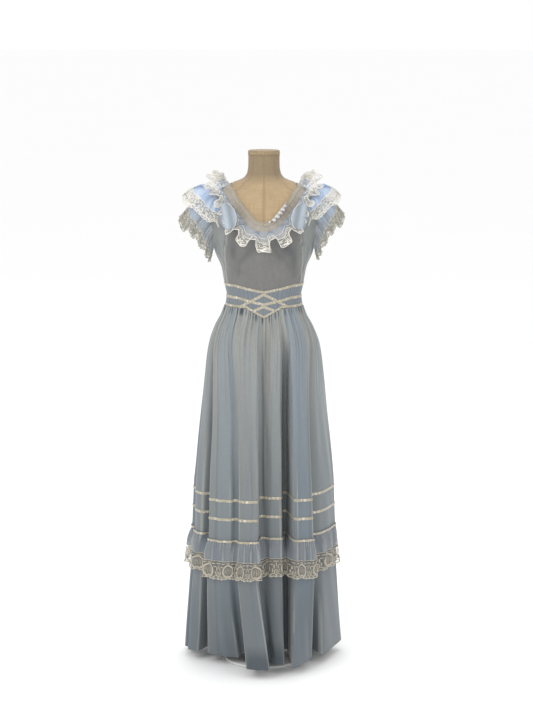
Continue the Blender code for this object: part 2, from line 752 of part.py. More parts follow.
def ring_outward(ring, sharpest=0.62):
    """The level way out at each point of a plan, longer at its corners. sharpest limits how much."""
    edges = np.roll(ring, -1, axis=0) - ring
    outs = np.column_stack([edges[:, 1], -edges[:, 0]])
    outs /= np.maximum(np.linalg.norm(outs, axis=1), 1e-12)[:, None]
    both = outs + np.roll(outs, 1, axis=0)
    both /= np.maximum(np.linalg.norm(both, axis=1), 1e-12)[:, None]
    return both / np.clip((both * outs).sum(1), sharpest, 1)[:, None]


def at_height(ring, z):
    heights = np.broadcast_to(np.asarray(z, float), (len(ring),))
    return np.column_stack([ring, heights])


def ring_wall(name, rings, heights, thickness, colour, roughness=CLOTH_ROUGHNESS, **options):
    """A wall round the body through level rings, foot first, its inside found ring by ring."""
    rows = [at_height(ring, z) for ring, z in zip(rings, heights)]
    columns = options.pop("columns", None)
    ways = [np.column_stack([ring_outward(ring, WALL_SHARPEST), np.zeros(len(ring))]) for ring in rings]
    closed = columns is None
    if columns is not None:
        rows = [row[columns] for row in rows]
        ways = [way[columns] for way in ways]
    sheet = Sheet().grid(rows, closed=closed, **options)
    inward = sheet.normals()
    inward[: len(rows) * len(rows[0])] = np.vstack(ways)
    for key, number in sheet.number.items():
        if isinstance(key[0], tuple):
            corners = [sheet.number[corner] for corner in key[1]]
            inward[number] = inward[corners].mean(axis=0)
    return wall(name, sheet, thickness, colour, roughness, inward)


def two_lengths(name, start, words, rings, heights, thickness, colour, pierced=None, share=0.0):
    """A wall round the body in two lengths with a seam between them, the first one from that column on."""
    half_way = SKIRT_STEPS // 2
    for word, first in zip(words, (start, start + half_way)):
        chosen = np.arange(first, first + half_way + 1) % SKIRT_STEPS
        drawn = [ring.copy() for ring in rings]
        for ring in drawn:
            shift_ends(ring, chosen)
        ring_wall(
            f"{name}_{word}",
            drawn,
            heights,
            thickness,
            colour,
            columns=chosen,
            pierced=pierced and (lambda r, c, first=first: pierced(r, c + first)),
            share=share,
        )


def shift_ends(ring, chosen):
    """Draws the two ends of an open length back from the seam it shares with the other length."""
    first, last = chosen[0], chosen[-1]
    ring[first] += unit(ring[chosen[1]] - ring[first]) * SEAM_GAP
    ring[last] += unit(ring[chosen[-2]] - ring[last]) * SEAM_GAP


def make_skirt():
    levels = (HEM_Z, TRIM_ZONE_FOOT, *(row[0] for row in sorted(SKIRT)))
    rings = [skirt_ring(z) for z in levels]
    heights = [np.full(SKIRT_STEPS, z) for z in levels]
    top = np.array([band_seam(column_turn(c)) for c in range(SKIRT_STEPS)]) - SEAM_GAP
    dip = top - (BAND_SEAM_SIDE - SEAM_GAP)
    heights[-1] = top
    heights[-2] = heights[-2] + dip * POINT_CARRY[0]
    heights[-3] = heights[-3] + dip * POINT_CARRY[1]
    hem = fold_ring(HEM_FOLDS)
    depth = np.maximum(0, HEM_OUT - np.linalg.norm(hem, axis=1))
    heights[0] = HEM_Z + VALLEY_HEM_LIFT * depth * is_valley()
    two_lengths("skirt", SIDE_SEAM_COLUMN, ("front", "back"), rings, heights, VOILE, SKIRT_GREY)


def make_skirt_ribbons():
    for name, centre in SKIRT_RIBBONS:
        levels = (centre - RIBBON_WIDTH / 2, centre + RIBBON_WIDTH / 2)
        rings = [skirt_ring(z) for z in levels]
        rings = [ring + ring_outward(ring) * UNDER_TRIM for ring in rings]
        ring_wall(name, rings, levels, TRIM, SATIN_CREAM, SATIN_ROUGHNESS)


def flounce_ring(z, stand_off, gather):
    """The flounce's plan: over the skirt's crests, across its valleys with a shallow dip, and waved."""
    ring = skirt_ring(z)
    valley = is_valley() == 1
    columns = np.flatnonzero(valley)
    dips = np.zeros_like(ring)
    for first, second in zip(columns[::2], columns[1::2]):
        left, right = ring[first - 1].copy(), ring[(second + 1) % SKIRT_STEPS].copy()
        middle = (left + right) / 2
        floor = (ring[first] + ring[second]) / 2 - middle
        dip = min(FLOUNCE_VALLEY_SHARE * np.linalg.norm(floor), FLOUNCE_VALLEY_MOST)
        dips[[first, second]] = unit(floor) * dip
        ring[first] = middle - (right - left) / 6
        ring[second] = middle + (right - left) / 6
    wave = gather * np.where(np.arange(SKIRT_STEPS) % 2, 1, -1)
    moved = np.where(valley, FLOUNCE_VALLEY_OFF * stand_off, stand_off + wave)
    return ring + ring_outward(ring) * moved[:, None] + dips


def make_flounce():
    foot, middle, top = (flounce_ring(*row) for row in FLOUNCE)
    half = RIBBON_WIDTH / 2
    heading_levels = (HEADING_Z - half, HEADING_Z + half)
    heading = [skirt_ring(z) for z in heading_levels]
    on_skirt = [ring + ring_outward(ring) * UNDER_TRIM for ring in heading]
    levels = (FLOUNCE_LACE_TOP + SEAM_GAP, *heading_levels)
    words = ("front", "back")
    two_lengths("skirt_flounce", SIDE_SEAM_COLUMN, words, [top, *on_skirt], levels, TRIM, SHEER_BLUE)
    ribbon = [ring + ring_outward(ring) * 2 * UNDER_TRIM for ring in heading]
    ring_wall("ribbon_flounce_heading", ribbon, heading_levels, TRIM, SATIN_CREAM, SATIN_ROUGHNESS)

    columns = np.arange(SKIRT_STEPS)
    scallop = SCALLOP_DEPTH * np.array(SCALLOP_SHAPE)[columns % SCALLOP_COLUMNS]
    heights = (FLOUNCE_FOOT - scallop + SCALLOP_DEPTH, FLOUNCE_LACE_MIDDLE, FLOUNCE_LACE_TOP)
    two_lengths(
        "skirt_lace",
        LACE_SPLIT_COLUMN,
        ("left", "right"),
        [foot, middle, top],
        heights,
        TRIM,
        LACE_CREAM,
        pierced=lambda r, column: r == 0 and column % SCALLOP_COLUMNS in (1, 3),
        share=LACE_GAP_SHARE,
    )


def evened(rows, reach):
    """Directions round a closed edge, each the mean of those within reach of it."""
    total = sum(np.roll(rows, k, axis=0) for k in range(-reach, reach + 1))
    return unit_rows(total)


def make_neck_ruffle():
    """Sewn on the yoke seam: it falls over the bodice at front and back and stands up on the shoulders."""
    count = NECK_RUFFLE_WAVES * WAVE_COLUMNS
    front_steps = round(count / 2 * NECK_FRONT_STEPS / (NECK_FRONT_STEPS + NECK_BACK_STEPS))
    places = neck_places(front_steps, count // 2 - front_steps)
    seam = off_neck(places, YOKE_WIDTH)
    edge = np.array([torso_point(*place) for place in places])
    roots, ways, lengths, waves = [], [], [], []
    for k, (turn, z) in enumerate(seam):
        out = torso_slopes(turn, z)[2]
        root = torso_point(turn, z)
        along = unit(root - edge[k])
        at = 1 - abs(1 - 2 * k / count)
        row = [smooth_between(NECK_RUFFLE, at, column) for column in range(1, 6)]
        ways.append(unit(along * row[0] + out * row[1] + np.array((0, 0, row[2]))))
        roots.append(root + out * (UNDER_TRIM + NECK_RUFFLE_CLEAR))
        lengths.append(row[3])
        waves.append(row[4])
    lengths, waves = np.array(lengths), np.array(waves)
    phase = 2 * math.pi * np.arange(count) / WAVE_COLUMNS
    roots = np.array(roots)
    ways = evened(np.array(ways), NECK_RUFFLE_EVENING)
    along = np.roll(roots, -1, axis=0) - np.roll(roots, 1, axis=0)
    across = unit_rows(np.cross(along, ways))
    rows = []
    for share in (0.0, NECK_LACE_SHARE, NECK_LACE_SHARE + LACE_SEAM_SHARE, 1.0):
        offset = waves * share * np.cos(phase)
        rows.append(roots + ways * (lengths * share)[:, None] + across * offset[:, None])
    wall("neck_ruffle", Sheet().grid([rows[1], rows[0]], closed=True), TRIM, SHEER_BLUE)
    middle = count // 4
    cuts = (("neck_lace_front", -middle, middle), ("neck_lace_back", middle, count - middle))
    for name, first, last in cuts:
        chosen = [c % count for c in range(first, last + 1)]
        strip = drawn_in(np.array([rows[3][chosen], rows[2][chosen]]))
        lace = Sheet().grid(
            strip,
            closed=False,
            pierced=lambda r, c, start=first: (c + start) % WAVE_COLUMNS == 1,
            share=LACE_GAP_SHARE,
        )
        wall(name, lace, TRIM, LACE_CREAM)


def sleeve_roots(first, inset, count):
    """Points beside the armhole from its front foot over the shoulder to its back foot, and ways out."""
    half = even_places(ARMHOLE, count // 2, first=first)
    whole = half + [(180 - turn, z) for turn, z in half[-2::-1]]
    points = []
    for k, (turn, z) in enumerate(whole):
        one, two = whole[min(k + 1, len(whole) - 1)], whole[max(k - 1, 0)]
        along = torso_point(*one) - torso_point(*two)
        moved = walked(turn, z, np.cross(torso_slopes(turn, z)[2], along), inset)
        points.append((torso_point(*moved), torso_slopes(*moved)[2]))
    return points


def make_sleeve(name, table, first, inset, clear, side, reach):
    """One gathered flounce and the lace on its edge, both open strips."""
    count = SLEEVE_WAVES * WAVE_COLUMNS
    roots, ways, lengths = [], [], []
    for k, (here, out) in enumerate(sleeve_roots(first, inset, count)):
        at = k / count
        go_out, fall, fore, length = (smooth_between(table, at, column) for column in range(1, 5))
        roots.append(here + out * (UNDER_TRIM + clear))
        ways.append(unit(np.array((go_out, -fore, -fall))))
        lengths.append(length * reach)
    roots, ways, lengths = np.array(roots), np.array(ways), np.array(lengths)
    along = np.gradient(roots, axis=0)
    across = unit_rows(np.cross(along, ways))
    phase = 2 * math.pi * np.arange(count + 1) / WAVE_COLUMNS
    taper = SLEEVE_WAVE * np.clip(lengths / lengths.max() * SLEEVE_TAPER, 0, 1)
    rows = []
    lace_top = SLEEVE_LACE_SHARE + LACE_SEAM_SHARE
    for share in (0.0, SLEEVE_LACE_SHARE / 2, SLEEVE_LACE_SHARE, lace_top, 1.0):
        arch = SLEEVE_SAG * math.sin(math.pi * share) * lengths / lengths.max()
        wave = across * (taper * share * np.cos(phase))[:, None]
        rows.append(roots + ways * (lengths * share)[:, None] + wave + np.outer(arch, (0, 0, 1)))
    rows = np.array(rows) * (side, 1, 1)
    order = slice(None, None, -side)
    fabric = Sheet().grid([row[order] for row in (rows[2], rows[1], rows[0])], closed=False)
    wall(name, fabric, TRIM, SHEER_BLUE)
    lace = Sheet().grid(
        [rows[4][order], rows[3][order]],
        closed=False,
        pierced=lambda r, c: c % WAVE_COLUMNS == 1,
        share=LACE_GAP_SHARE,
    )
    wall(name + "_lace", lace, TRIM, LACE_CREAM)


def make_sleeves():
    levels = (
        ("upper", UPPER_SLEEVE, UPPER_SLEEVE_START, UPPER_SLEEVE_INSET, UPPER_SLEEVE_CLEAR),
        ("lower", LOWER_SLEEVE, LOWER_SLEEVE_START, LOWER_SLEEVE_INSET, LOWER_SLEEVE_CLEAR),
    )
    for word, side, reach in (("right", 1, RIGHT_SLEEVE_REACH), ("left", -1, 1.0)):
        for level, *cut in levels:
            make_sleeve(f"sleeve_{level}_{word}", *cut, side, reach)


def centre_pieces():
    """Moves everything so that the middle of the whole box stands over the origin."""
    pieces = [piece for piece in bpy.data.objects if piece.type == "MESH"]
    every = np.array([vertex.co for piece in pieces for vertex in piece.data.vertices])
    middle = (every.min(axis=0) + every.max(axis=0)) / 2
    for piece in pieces:
        for vertex in piece.data.vertices:
            vertex.co.x -= middle[0]
            vertex.co.y -= middle[1]


clear_scene()
make_form()
make_stand()
make_bodice()
make_yoke()
make_waistband()
make_skirt()
make_skirt_ribbons()
make_flounce()
make_neck_ruffle()
make_sleeves()
centre_pieces()
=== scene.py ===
"""The finished look of an evening gown on a dress form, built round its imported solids.

Metres, +Z up, front towards -Y. A turn is an angle round the body in degrees: 0 at centre front,
90 at the +X side and 180 at centre back. A grid of points has its foot row first.
"""

import bmesh
import bpy
import numpy as np
from numpy import arange, clip, concatenate, cos, linspace, pi, radians, sin, stack
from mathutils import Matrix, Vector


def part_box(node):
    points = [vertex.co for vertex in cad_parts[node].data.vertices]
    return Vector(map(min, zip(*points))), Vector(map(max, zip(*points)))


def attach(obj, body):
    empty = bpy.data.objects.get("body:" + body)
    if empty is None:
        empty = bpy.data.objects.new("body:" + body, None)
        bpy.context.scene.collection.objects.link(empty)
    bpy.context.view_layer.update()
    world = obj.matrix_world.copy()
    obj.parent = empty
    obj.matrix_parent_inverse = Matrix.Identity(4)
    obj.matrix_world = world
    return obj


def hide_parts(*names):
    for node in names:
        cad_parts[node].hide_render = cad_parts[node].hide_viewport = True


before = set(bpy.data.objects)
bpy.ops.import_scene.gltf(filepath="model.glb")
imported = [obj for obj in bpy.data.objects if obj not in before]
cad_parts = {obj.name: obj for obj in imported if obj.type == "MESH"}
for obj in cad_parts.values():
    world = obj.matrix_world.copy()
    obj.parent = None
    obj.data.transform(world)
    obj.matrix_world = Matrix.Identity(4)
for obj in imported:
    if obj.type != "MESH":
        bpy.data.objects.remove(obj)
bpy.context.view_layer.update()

# THE STAND
# A round steel plate in pale enamel with a brushed steel pole screwed into it. The pole slides up
# into the form. The hem hides both in the photograph, so they are plain.
CAP_BOX = np.array(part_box("form_neck_cap"))
AXIS = CAP_BOX.mean(axis=0) * (1, 1, 0)
BASE_RADIUS = 0.12
BASE_HEIGHT = 0.009
POLE_RADIUS = 0.0125
POLE_TOP = 0.8847
EDGE = 0.0015
ENAMEL = (0.6, 0.6, 0.59)
STEEL = (0.55, 0.555, 0.56)


def norm(vectors):
    return np.linalg.norm(vectors, axis=-1)


def shaded(colour, share):
    return tuple(channel * share for channel in colour)


def oval(wide, deep, z, turns):
    """A level oval of points, or a stack of them."""
    return stack(np.broadcast_arrays(wide * sin(turns), -deep * cos(turns), z), axis=-1)


def lathe(profile, steps):
    """A closed round grid from (radius, z) pairs, foot first."""
    turns = radians(arange(steps) * 360 / steps)
    return [oval(radius, radius, z, turns) for radius, z in profile]


def surface(name, grid, closed=True, tint=None, keep=None, home=AXIS):
    """A smooth sheet through a grid of points. Its UV is in metres, and tint is a second UV.

    Where keep chooses its faces, its points are joined where they meet.
    """
    grid = np.asarray(grid, float)
    rows, columns = grid.shape[:2]
    u = concatenate([[0], np.cumsum(norm(np.roll(grid, -1, axis=1) - grid).mean(axis=0))])
    v = concatenate([[0], np.cumsum(norm(np.diff(grid, axis=0)).mean(axis=1))])
    r, c = np.meshgrid(arange(rows - 1), arange(columns if closed else columns - 1), indexing="ij")
    if keep is not None:
        wanted = keep[: r.shape[0], : r.shape[1]]
        r, c = r[wanted], c[wanted]
    r, c = r.ravel(), c.ravel()
    corner_r, corner_c = stack([r, r, r + 1, r + 1], axis=1), stack([c, c + 1, c + 1, c], axis=1)
    mesh = bpy.data.meshes.new(name)
    mesh.vertices.add(rows * columns)
    mesh.vertices.foreach_set("co", (grid + home).ravel())
    mesh.loops.add(len(r) * 4)
    mesh.loops.foreach_set("vertex_index", (corner_r * columns + corner_c % columns).ravel())
    mesh.polygons.add(len(r))
    mesh.polygons.foreach_set("loop_start", arange(len(r)) * 4)
    mesh.polygons.foreach_set("use_smooth", np.ones(len(r), bool))
    mesh.update()
    layers = {"metres": stack([u[corner_c], v[corner_r]], axis=2)}
    if tint is not None:
        layers["tint"] = tint[corner_r, corner_c % columns]
    for layer, places in layers.items():
        mesh.uv_layers.new(name=layer).data.foreach_set("uv", places.ravel())
    if keep is not None:
        form = bmesh.new()
        form.from_mesh(mesh)
        bmesh.ops.remove_doubles(form, verts=form.verts[:], dist=1e-6)
        loose = [point for point in form.verts if not point.link_faces]
        bmesh.ops.delete(form, geom=loose, context="VERTS")
        form.to_mesh(mesh)
        form.free()
    piece = bpy.data.objects.new(name, mesh)
    bpy.context.scene.collection.objects.link(piece)
    return piece


def make(
    name, grid, finish, slot, node=None, flat=None, held="gathered",
    closed=True, tint=None, keep=None, **laid,
):
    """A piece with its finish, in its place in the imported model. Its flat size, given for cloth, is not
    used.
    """
    piece = surface(name, grid, closed, tint, keep)
    piece.data.materials.append(finish.material)
    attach(piece, "root")
    if node:
        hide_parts(node)


class Finish:
    """A procedural material: nodes that feed one Principled shader."""

    def __init__(self, name, roughness, **constants):
        self.material = bpy.data.materials.new(name)
        self.material.use_nodes = True
        self.tree = self.material.node_tree
        self.shader = self.tree.nodes["Principled BSDF"]
        self.shader.inputs["Roughness"].default_value = roughness
        for socket, value in constants.items():
            self.shader.inputs[socket.replace("_", " ")].default_value = value

    def feed(self, socket, value):
        if isinstance(value, bpy.types.NodeSocket):
            self.tree.links.new(value, socket)
        else:
            socket.default_value = value

    def node(self, kind, inputs, output=0, **settings):
        node = self.tree.nodes.new("ShaderNode" + kind)
        for setting, value in settings.items():
            setattr(node, setting, value)
        for socket, value in inputs.items():
            self.feed(node.inputs[socket], value)
        return node.outputs[output]

    def sum(self, operation, *values):
        return self.node("Math", dict(enumerate(values)), operation=operation)

    def layer(self, name):
        """Both coordinates of a UV layer."""
        split = self.tree.nodes.new("ShaderNodeSeparateXYZ")
        self.feed(split.inputs[0], self.node("UVMap", {}, uv_map=name))
        return split.outputs[0], split.outputs[1]

    def noise(self, scale, detail=2.0, stretch=(1, 1, 1)):
        """Noise over the UV in metres, from about 0.25 to 0.75, with scale as its number of lumps a metre."""
        where = self.node("Mapping", {"Vector": self.node("UVMap", {}, uv_map="metres"), "Scale": stretch})
        return self.node("TexNoise", {"Vector": where, "Scale": scale, "Detail": detail})

    def ripple(self, along, pitch):
        """A sine wave of that pitch along a coordinate."""
        return self.sum("SINE", self.sum("MULTIPLY", along, 2 * pi / pitch))

    def weave(self, pitch):
        """Threads that cross at that pitch."""
        u, v = self.layer("metres")
        return self.sum("MULTIPLY", self.ripple(u, pitch), self.ripple(v, pitch))

    def slubs(self, scale, detail, thin):
        """Uneven threads both ways."""
        ways = ((1, thin, 1), (thin, 1, 1))
        return self.sum("ADD", *(self.noise(scale, detail, way) for way in ways))

    def range(self, value, low, high, to_low, to_high):
        ends = {"Value": value, "From Min": low, "From Max": high, "To Min": to_low, "To Max": to_high}
        return self.node("MapRange", ends)

    def mix(self, share, one, two):
        """Colour one, turning to colour two as share goes from 0 to 1."""
        node = self.tree.nodes.new("ShaderNodeMix")
        node.data_type = "RGBA"
        for socket, value in ((node.inputs[0], share), (node.inputs[6], one), (node.inputs[7], two)):
            self.feed(socket, (*value, 1) if isinstance(value, tuple) else value)
        return node.outputs[2]

    def colour(self, value):
        self.feed(self.shader.inputs["Base Color"], value)

    def bump(self, height, distance, strength=1.0):
        relief = {"Height": height, "Distance": distance, "Strength": strength}
        self.feed(self.shader.inputs["Normal"], self.node("Bump", relief))


enamel = Finish("base_enamel", 0.4, Coat_Weight=0.3, Coat_Roughness=0.15)
enamel.colour(enamel.mix(enamel.noise(25, 4), ENAMEL, shaded(ENAMEL, 0.93)))
enamel.bump(enamel.noise(900, 2), 0.0001, 0.4)
BASE = (
    (0.0004, 0),
    (BASE_RADIUS, 0),
    (BASE_RADIUS, BASE_HEIGHT - EDGE),
    (BASE_RADIUS - EDGE, BASE_HEIGHT),
    (POLE_RADIUS + 0.0115, BASE_HEIGHT),
    (0.0004, BASE_HEIGHT),
)
make("base_plate", lathe(BASE, 96), enamel, "base_enamel", "stand_base")
steel = Finish("pole_steel", 0.35, Metallic=0.9)
steel.colour(steel.mix(steel.noise(60, 3, (40, 1, 1)), STEEL, (0.4, 0.405, 0.41)))
brushing = steel.range(steel.noise(80, 3, (30, 1, 1)), 0.3, 0.7, 0.28, 0.45)
steel.feed(steel.shader.inputs["Roughness"], brushing)
POLE = ((POLE_RADIUS, BASE_HEIGHT + 0.0003), (POLE_RADIUS, POLE_TOP))
make("pole", lathe(POLE, 48), steel, "pole_steel", "stand_pole")


# THE DRESS FORM
# A limbless body and neck of moulded board, padded and covered with stretched linen that is sewn
# in panels, with a flat round cap on the neck. The gown's shoulders rest on it.
# Columns: z, half width, front, back
TORSO = (
    (1.055, 0.1195, 0.096, 0.091),
    (1.093, 0.1145, 0.091, 0.086),
    (1.128, 0.1105, 0.088, 0.081),
    (1.163, 0.118, 0.096, 0.085),
    (1.205, 0.1255, 0.107, 0.092),
    (1.25, 0.1435, 0.12, 0.1),
    (1.28, 0.153, 0.123, 0.103),
    (1.32, 0.163, 0.119, 0.104),
    (1.36, 0.17, 0.109, 0.101),
    (1.395, 0.17, 0.097, 0.095),
    (1.42, 0.162, 0.088, 0.087),
    (1.44, 0.13, 0.078, 0.076),
    (1.457, 0.096, 0.07, 0.068),
    (1.472, 0.068, 0.063, 0.061),
)
BUST_TURN = 34
BUST_Z = 1.272
BUST_OUT = 0.009
BUST_SPREAD_TURN = 24
BUST_SPREAD_Z = 0.042
FORM_EASE = 0.0045
FORM_HIPS = ((0.885, 0.105, 0.08), (0.9, 0.122, 0.094), (0.97, 0.128, 0.099), (1.045, 0.115, 0.088))
FORM_NECK = ((1.473, 0.06, 0.055), (1.489, 0.0495, 0.048), (1.51, 0.0465, 0.046), (1.5395, 0.0462, 0.0458))
FORM_SEAM_TURNS = (0, 42, 90, 138, 180, 222, 270, 318)
LINEN = (0.37, 0.27, 0.158)
LINEN_PALE = (0.46, 0.345, 0.212)
LINEN_DEEP = (0.2, 0.145, 0.086)
# Painted shade: the neck's linen colour, darker than the body's
LINEN_NECK_SHADE = (0.19, 0.152, 0.1)


def between(table, at, column):
    """A table's column at places given by its first column, smooth and without overshoot."""
    rows = np.asarray(table, float)
    keys, values = rows[:, 0], rows[:, column]
    steps = np.diff(values) / np.diff(keys)
    slopes = np.zeros(len(keys))
    rising = steps[:-1] * steps[1:] > 0
    total = np.where(rising, steps[:-1] + steps[1:], 1)
    slopes[1:-1] = np.where(rising, 2 * steps[:-1] * steps[1:] / total, 0)
    slopes[0], slopes[-1] = steps[0], steps[-1]
    at = clip(at, keys[0], keys[-1])
    k = clip(np.searchsorted(keys, at, "right") - 1, 0, len(keys) - 2)
    width = keys[k + 1] - keys[k]
    t = (at - keys[k]) / width
    ends = values[k] * (1 + 2 * t) * (1 - t) ** 2 + values[k + 1] * t * t * (3 - 2 * t)
    return ends + width * t * (1 - t) * (slopes[k] * (1 - t) - slopes[k + 1] * t)


def unit(vectors):
    return vectors / np.maximum(norm(vectors)[..., None], 1e-12)


def from_front(turn):
    return np.abs((turn + 180) % 360 - 180)


def torso(turn, z):
    """Points of the bodice's outer face."""
    turn, z = np.broadcast_arrays(np.asarray(turn, float), np.asarray(z, float))
    angle = radians(turn)
    deep = np.where(cos(angle) >= 0, between(TORSO, z, 2), between(TORSO, z, 3))
    bust = ((from_front(turn) - BUST_TURN) / BUST_SPREAD_TURN) ** 2 + ((z - BUST_Z) / BUST_SPREAD_Z) ** 2
    grow = 1 + BUST_OUT * np.exp(-bust) / deep
    return oval(between(TORSO, z, 1) * grow, deep * grow, z, angle)


def torso_slopes(turn, z):
    """How that face goes with the turn and with the height, and the way out of it."""
    across = torso(turn + 0.5, z) - torso(turn - 0.5, z)
    up = (torso(turn, z + 0.001) - torso(turn, z - 0.001)) / 0.002
    return across, up, unit(np.cross(across, up))


def outward(turn, z):
    return torso_slopes(turn, z)[2]


form_turns = arange(144) * 2.5
form_angles = radians(form_turns)


def pair(one, two):
    """Two values at each point, as a tint takes them."""
    return stack(np.broadcast_arrays(one, two), axis=-1)


def form_rings(table, first, last, count):
    """Ovals from a table of z, half width and half depth."""
    levels = linspace(first, last, count)[:, None]
    return oval(between(table, levels, 1), between(table, levels, 2), levels, form_angles)


body_levels = concatenate([arange(1.093, 1.415, 0.01), arange(1.415, 1.458, 0.004)])[:, None]
ease = FORM_EASE + 0.0028 * np.exp(-(((body_levels - 1.42) / 0.02) ** 2)) * np.abs(sin(form_angles))
body = torso(form_turns, body_levels) - outward(form_turns, body_levels) * ease[..., None]
hips = form_rings(FORM_HIPS, 0.885, 1.045, 18)
neck = form_rings(((1.4572, *np.abs(body[-1]).max(axis=0)[:2]), *FORM_NECK), 1.46, 1.5395, 26)
form_grid = concatenate([hips[:1] * (0.02, 0.02, 1), hips, body, neck])
seam_depth = sum(np.exp(-((from_front(form_turns - seam) / 1.6) ** 2)) for seam in FORM_SEAM_TURNS)
form_grid[1:] -= oval(1, 1, 0, form_angles) * 0.0007 * seam_depth[:, None]
# The neck is painted towards the shaded linen colour: painted shade
neck_shade_grid = clip((form_grid[..., 2] - 1.455) / 0.03, 0, 1)

linen = Finish("linen", 0.92, Sheen_Weight=0.15, Specular_IOR_Level=0.2)
neck_shade, in_seam = linen.layer("tint")
slubs = linen.slubs(420, 3, 0.06)
cloth = linen.mix(linen.range(slubs, 0.75, 1.25, 0, 1), LINEN, LINEN_PALE)
cloth = linen.mix(linen.sum("MULTIPLY", neck_shade, 0.7), cloth, LINEN_NECK_SHADE)
cloth = linen.mix(linen.sum("MULTIPLY", in_seam, 0.5), cloth, LINEN_DEEP)
linen.colour(linen.mix(linen.range(linen.noise(14, 2), 0.35, 0.7, 0, 0.25), cloth, LINEN_DEEP))
linen.bump(linen.sum("ADD", linen.sum("MULTIPLY", linen.weave(0.0011), 0.4), slubs), 0.0004, 0.5)
make("form_body", form_grid, linen, "linen", "form_torso", tint=pair(neck_shade_grid, seam_depth))

CAP = ((0.0461, 1.54), (0.047, 1.5406), (0.047, 1.552), (0.0462, 1.5534), (0.0445, 1.554), (0.0004, 1.554))
cap_linen = Finish("cap_linen", 0.9, Sheen_Weight=0.15, Specular_IOR_Level=0.2)
slubs = cap_linen.slubs(500, 3, 0.08)
# The cap's linen runs from plain linen to the neck's painted shade colour
cap_linen.colour(cap_linen.mix(cap_linen.range(slubs, 0.75, 1.25, 0, 1), LINEN_NECK_SHADE, LINEN))
cap_linen.bump(slubs, 0.0004, 0.5)
make("neck_cap", lathe(CAP, 96), cap_linen, "linen", "form_neck_cap")


# THE BODICE
# A fitted bodice of sheer grey-blue voile, dense enough to hide the form: a front in one piece and
# two backs that close at centre back. It is sewn to the yoke above and to the waistband below.
SEAM_GAP = 0.0003
BODICE_FRONT_STEPS = 28
BODICE_BACK_STEPS = 24
# Height at the sides and at centre front, and how many degrees the point is wide on each side
BAND_TOP = (1.163, 1.146, 45)
YOKE_WIDTH = 0.029
# Columns: turn, z
NECK = (
    (0, 1.351),
    (6, 1.355),
    (14, 1.379),
    (23, 1.409),
    (39, 1.438),
    (90, 1.457),
    (141, 1.45),
    (162, 1.437),
    (180, 1.431),
)
SHOULDER_ROW = 5
# Columns: turn, z
ARMHOLE = (
    (90, 1.262),
    (80, 1.271),
    (71, 1.298),
    (67, 1.335),
    (69, 1.37),
    (76, 1.4),
    (90, 1.42),
)
# Columns: from x, from z, to x, to z, width, depth, all in metres over the face
BODICE_CREASES = (
    (0.02, 1.285, 0.075, 1.215, 0.01, -0.0016),
    (-0.03, 1.28, -0.08, 1.22, 0.012, -0.0018),
    (0.055, 1.24, 0.062, 1.165, 0.007, 0.0014),
    (-0.058, 1.235, -0.066, 1.165, 0.008, 0.0016),
    (0.03, 1.215, 0.026, 1.16, 0.006, 0.0009),
    (-0.022, 1.21, -0.03, 1.158, 0.006, 0.001),
    (0.118, 1.33, 0.098, 1.2, 0.009, 0.002),
    (-0.122, 1.33, -0.1, 1.205, 0.009, 0.0022),
    (0.14, 1.3, 0.112, 1.19, 0.008, -0.0016),
    (-0.14, 1.29, -0.114, 1.195, 0.008, -0.0015),
    (0.0, 1.3, 0.004, 1.18, 0.022, 0.0008),
)
# Painted shade, and below 0 a painted sheen. Columns as above, with how dark the cloth is painted
BODICE_SHADE_AND_SHEEN = (
    (0.04, 1.312, 0.086, 1.25, 0.02, 0.7),
    (0.092, 1.26, 0.088, 1.19, 0.012, 0.5),
    (-0.088, 1.3, -0.092, 1.235, 0.012, 0.55),
    (-0.082, 1.205, -0.052, 1.2, 0.016, 0.45),
    (-0.02, 1.29, 0.01, 1.255, 0.022, 0.3),
    (0.03, 1.225, 0.046, 1.175, 0.01, -0.45),
    (-0.03, 1.25, -0.04, 1.2, 0.014, -0.25),
)
VOILE_GREY = (0.132, 0.129, 0.121)
VOILE_BLUE = (0.205, 0.222, 0.214)


def pointed(turn, side, centre, knee):
    """The height of a seam that runs level and dips to a point at centre front."""
    return side + (centre - side) * np.maximum(0, 1 - from_front(turn) / knee)


def even_places(table, steps, rows_used=None, first=0.0):
    """Turns and heights at even distances along a line that a table gives on the torso."""
    rows = np.array(table, float)
    numbered = np.column_stack([arange(len(rows)), rows])
    fine = linspace(*(rows_used or (0, len(rows) - 1)), 900)
    turn, z = between(numbered, fine, 1), between(numbered, fine, 2)
    run = concatenate([[0], np.cumsum(norm(np.diff(torso(turn, z), axis=0)))])
    marks = linspace(first, 1, steps + 1) * run[-1]
    return np.interp(marks, run, turn), np.interp(marks, run, z)


def walked(turn, z, heading, distance, steps=6):
    """The places reached by going that distance over the torso's face, straight ahead."""
    for _ in range(steps):
        across, up, out = torso_slopes(turn, z)
        heading = unit(heading - out * (heading * out).sum(-1, keepdims=True))
        aa, au, uu = ((p * q).sum(-1) for p, q in ((across, across), (across, up), (up, up)))
        ah, uh = (across * heading).sum(-1), (up * heading).sum(-1)
        share = distance / steps / (aa * uu - au * au)
        turn, z = turn + (ah * uu - uh * au) * share, z + (uh * aa - ah * au) * share
    return turn, z


def neck_places(front_steps, back_steps):
    """The neck edge from centre front round by +X to centre back and home."""
    front = even_places(NECK, front_steps, (0, SHOULDER_ROW))
    back = even_places(NECK, back_steps, (SHOULDER_ROW, len(NECK) - 1))
    turn, z = (concatenate([one, two[1:]]) for one, two in zip(front, back))
    return concatenate([turn, 360 - turn[-2:0:-1]]), concatenate([z, z[-2:0:-1]])


def off_neck(turn, z, distance):
    """Places that lie that far from the neck edge over the torso, straight away from it."""
    along = run_round(torso(turn, z), True)
    far_turn, far_z = walked(turn, z, np.cross(along, outward(turn, z)), distance)
    return np.where(turn % 90 == 0, turn, far_turn), far_z


def run_round(points, closed):
    """The way along a line of points."""
    if closed:
        return np.roll(points, -1, axis=0) - np.roll(points, 1, axis=0)
    return np.gradient(points, axis=0)


